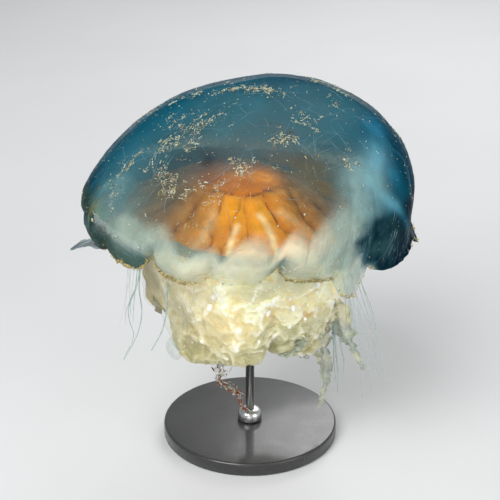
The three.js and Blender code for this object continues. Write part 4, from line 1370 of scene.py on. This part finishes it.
def margin_crust():
    """Yellow-brown crumbs along the free edges of the lappets, thickest on a few stretches."""
    rng = np.random.default_rng(29)
    count = 4200
    theta = rng.uniform(0, 2 * np.pi, count)
    crusty = 0.28 + 1.3 * bump_at(theta, -152, 17) + bump_at(theta, -117, 9) + 0.9 * bump_at(theta, -66, 10)
    bare = np.maximum(0.7 * bump_at(theta, -10, 24), 0.85 * bump_at(theta, -90, 13))
    keep = rng.uniform(0, 1.2, count) < crusty * (1 - bare)
    theta, crusty = theta[keep], crusty[keep]
    count = len(theta)
    down = 1 - np.abs(rng.normal(0, 0.025, count)) * (0.6 + 1.6 * crusty)
    centre = bell_wall(theta, down) + rng.normal(0, 0.3, (count, 3))
    heading = np.stack([-np.sin(theta), np.cos(theta), rng.normal(0, 0.6, count)], -1)
    paths = crooked(rng, centre, heading, rng.lognormal(-1.2, 0.6, count), 4, 0.1)
    radii = rng.lognormal(-1.5, 0.5, count).clip(0.08, 0.6)[:, None]
    radii = radii * rng.uniform(0.5, 1.4, (count, 4))
    grids = tubes(paths, radii)
    tint = mixed((150, 122, 52), (214, 206, 150), rng.uniform(0, 1, count)[:, None, None])
    piece = many_grids("margin_crust", from_bell(grids), crust_flesh, tint, cover=1.0)


def margin_flap():
    """A small clear flap that sticks out from the left margin."""
    rows, cols = 50, 20
    t = np.linspace(0, 1, rows)[:, None]
    across = np.linspace(-1, 1, cols)[None]
    line = ((-78, -34, 134), (-84, -35, 135.5), (-90, -36, 135), (-95, -36, 132.5))
    half = 2.2 * np.sin(np.pi * np.clip(0.25 + 0.7 * t, 0, 1)) ** 0.6
    sway = np.stack([0.3 * across * half, 0.9 * np.sin(9 * t + 3 * across), across * half], -1)
    grid = shaken(spline(line, t[:, 0])[:, None] + sway, 0.35, 3, 3, 97)
    edge = np.maximum(np.abs(across), smooth(0.85, 1, t)) ** 4
    tint = mixed((16, 58, 70), (120, 150, 148), edge)
    piece = grid_piece("margin_flap", grid * MM, strand_gel, tint, closed=False, cover=0.8 + 0.15 * edge)


# ---- stand


def turned_piece(name, profile, sides, material, *nodes):
    """A turned piece from (radius, height) points in millimetres, from the top on the axis down."""
    profile = np.array(profile, float)
    points = polar(profile[:, :1], around(sides)[None], profile[:, 1:])
    piece = grid_piece(name, points * MM, material)
    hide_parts(*nodes)
    return piece


def in_mm(corners):
    """The corners of a box, which are in metres, as arrays in millimetres."""
    return (np.array(corner) / MM for corner in corners)


def stand_materials():
    """Black lacquer for the base, and brushed steel for the collar and the rod."""
    lacquer = Shader("stand_lacquer", Metallic=0.0, Coat_Weight=0.35, Coat_Roughness=0.12)
    lacquer.set("Base Color", lacquer.grey(lacquer.spread(lacquer.noise(900, 3), 0.3, 0.7, 0.016, 0.03)))
    lacquer.set("Roughness", lacquer.spread(lacquer.noise(60, 5), 0.3, 0.7, 0.28, 0.42))
    lacquer.bump(lacquer.noise(1400, 2), 0.03 * MM, 0.5)
    steel = Shader("stand_steel", Metallic=1.0)
    brushed = steel.noise(260, 4, 0.6, 0.0, (1, 1, 0.03))
    steel.set("Base Color", steel.grey(steel.spread(brushed, 0.3, 0.7, 0.5, 0.72)))
    steel.set("Roughness", steel.spread(brushed, 0.2, 0.8, 0.2, 0.38))
    return lacquer.material, steel.material


def stand():
    """The turned base, collar and rod, each fitted to its CAD node's box."""
    lacquer, steel = stand_materials()
    axis = 0.01  # radius of the small hole left where a turned face meets its axis
    bevel, rod_radius = 1.4, 2.5

    low, high = in_mm(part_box("stand_base"))
    radius, top = (high[0] - low[0]) / 2, high[2]
    quarter = np.linspace(0, np.pi / 2, 7)
    rounded = [(radius - bevel * (1 - math.sin(a)), top - bevel * (1 - math.cos(a))) for a in quarter]
    outline = [(axis, top), *rounded, (radius, 1.0), (radius - 0.9, 0.0), (axis, 0.0)]
    base = turned_piece("stand_base_turned", outline, 160, lacquer, "stand_base")

    low, high = in_mm(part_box("stand_collar"))
    wide, foot, head = (high[0] - low[0]) / 2, low[2], high[2]
    brim, bore = foot + 1.6, rod_radius + 0.05
    quarter = np.linspace(0, np.pi / 2 - 0.01, 14)
    cove = [(wide * (0.45 + 0.55 * math.sin(a)), blend(brim, head, math.cos(a) ** 0.8)) for a in quarter]
    outline = [(bore, head + 0.05), *cove, (wide, foot + 1.2), (wide, foot), (bore, foot)]
    collar = turned_piece("stand_collar_turned", outline, 72, steel, "stand_collar")

    low, high = in_mm(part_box("stand_rod"))
    tip = [(axis, high[2]), (rod_radius - 0.3, high[2]), (rod_radius, high[2] - 0.4)]
    outline = [*tip, (rod_radius, low[2]), (axis, low[2])]
    rod = turned_piece("stand_rod_turned", outline, 40, steel, "stand_rod")


bell_skin()
inner_shell("gel_depth", depth_look, core_gel, 0.972, 0.972, 33)
inner_shell("gel_haze", haze_look, haze_gel, 0.95, 0.81, 36)
bell_underside()
lappet_tissue()
lappet_veins()
stomach_dome()
oral_arms()
arm_film()
arm_frills()
arm_beads()
arm_bubble()
for name, (points, widths, seed) in STREAMERS.items():
    streamer(name, points, widths, seed)
trailing_strand()
tentacles()
specks()
skin_threads()
margin_crust()
margin_flap()
stand()

# ---- floor, light and camera


def floor():
    """A plain pale floor of paper."""
    mesh = bpy.data.meshes.new("floor")
    mesh.from_pydata([(-6, -6, 0), (6, -6, 0), (6, 6, 0), (-6, 6, 0)], [], [(0, 1, 2, 3)])
    paper = Shader("floor_paper", Roughness=0.9)
    paper.set("Base Color", paper.mix(paper.noise(6, 3), (0.6, 0.605, 0.61), (0.66, 0.665, 0.67)))
    mesh.materials.append(paper.material)
    plane = placed("floor", mesh)


def area_light(name, place, target, size, watts):
    """A soft round lamp that faces the target. Sizes are in metres."""
    light = bpy.data.lights.new(name, "AREA")
    light.shape, light.size, light.energy = "DISK", size, watts
    lamp = placed(name, light)
    lamp.location = place
    lamp.rotation_euler = (Vector(target) - Vector(place)).to_track_quat("-Z", "Y").to_euler()


def camera():
    """The camera looks down from in front, at a point a little below the bell's margin."""
    pitch, away = math.radians(24.5), 0.85
    field = 0.277  # width of what the picture shows at the point looked at, in metres
    aim = Vector((0, 0, 0.1157))
    eye = aim + away * Vector((0, -math.cos(pitch), math.sin(pitch)))
    data = bpy.data.cameras.new("camera")
    data.sensor_width = 36
    data.lens = data.sensor_width * away / field
    cam = placed("camera", data)
    cam.location = eye
    cam.rotation_euler = (aim - eye).to_track_quat("-Z", "Y").to_euler()
    bpy.context.scene.camera = cam


floor()
camera()
heart = (0, 0, 0.13)
area_light("key", (-0.5, -0.7, 0.95), heart, 0.7, 13)
area_light("fill", (0.8, -0.7, 0.45), heart, 0.8, 4)
area_light("low", (-0.2, -1.1, 0.16), heart, 0.6, 1.6)
area_light("back", (0.3, 0.9, 0.8), heart, 0.7, 6)
world = bpy.data.worlds.new("studio")
world.use_nodes = True
world.node_tree.nodes["Background"].inputs["Color"].default_value = (0.86, 0.88, 0.9, 1)
world.node_tree.nodes["Background"].inputs["Strength"].default_value = 0.45
bpy.context.scene.world = world
bpy.context.scene.view_settings.view_transform = "Standard"
bpy.context.scene.cycles.transparent_max_bounces = 40
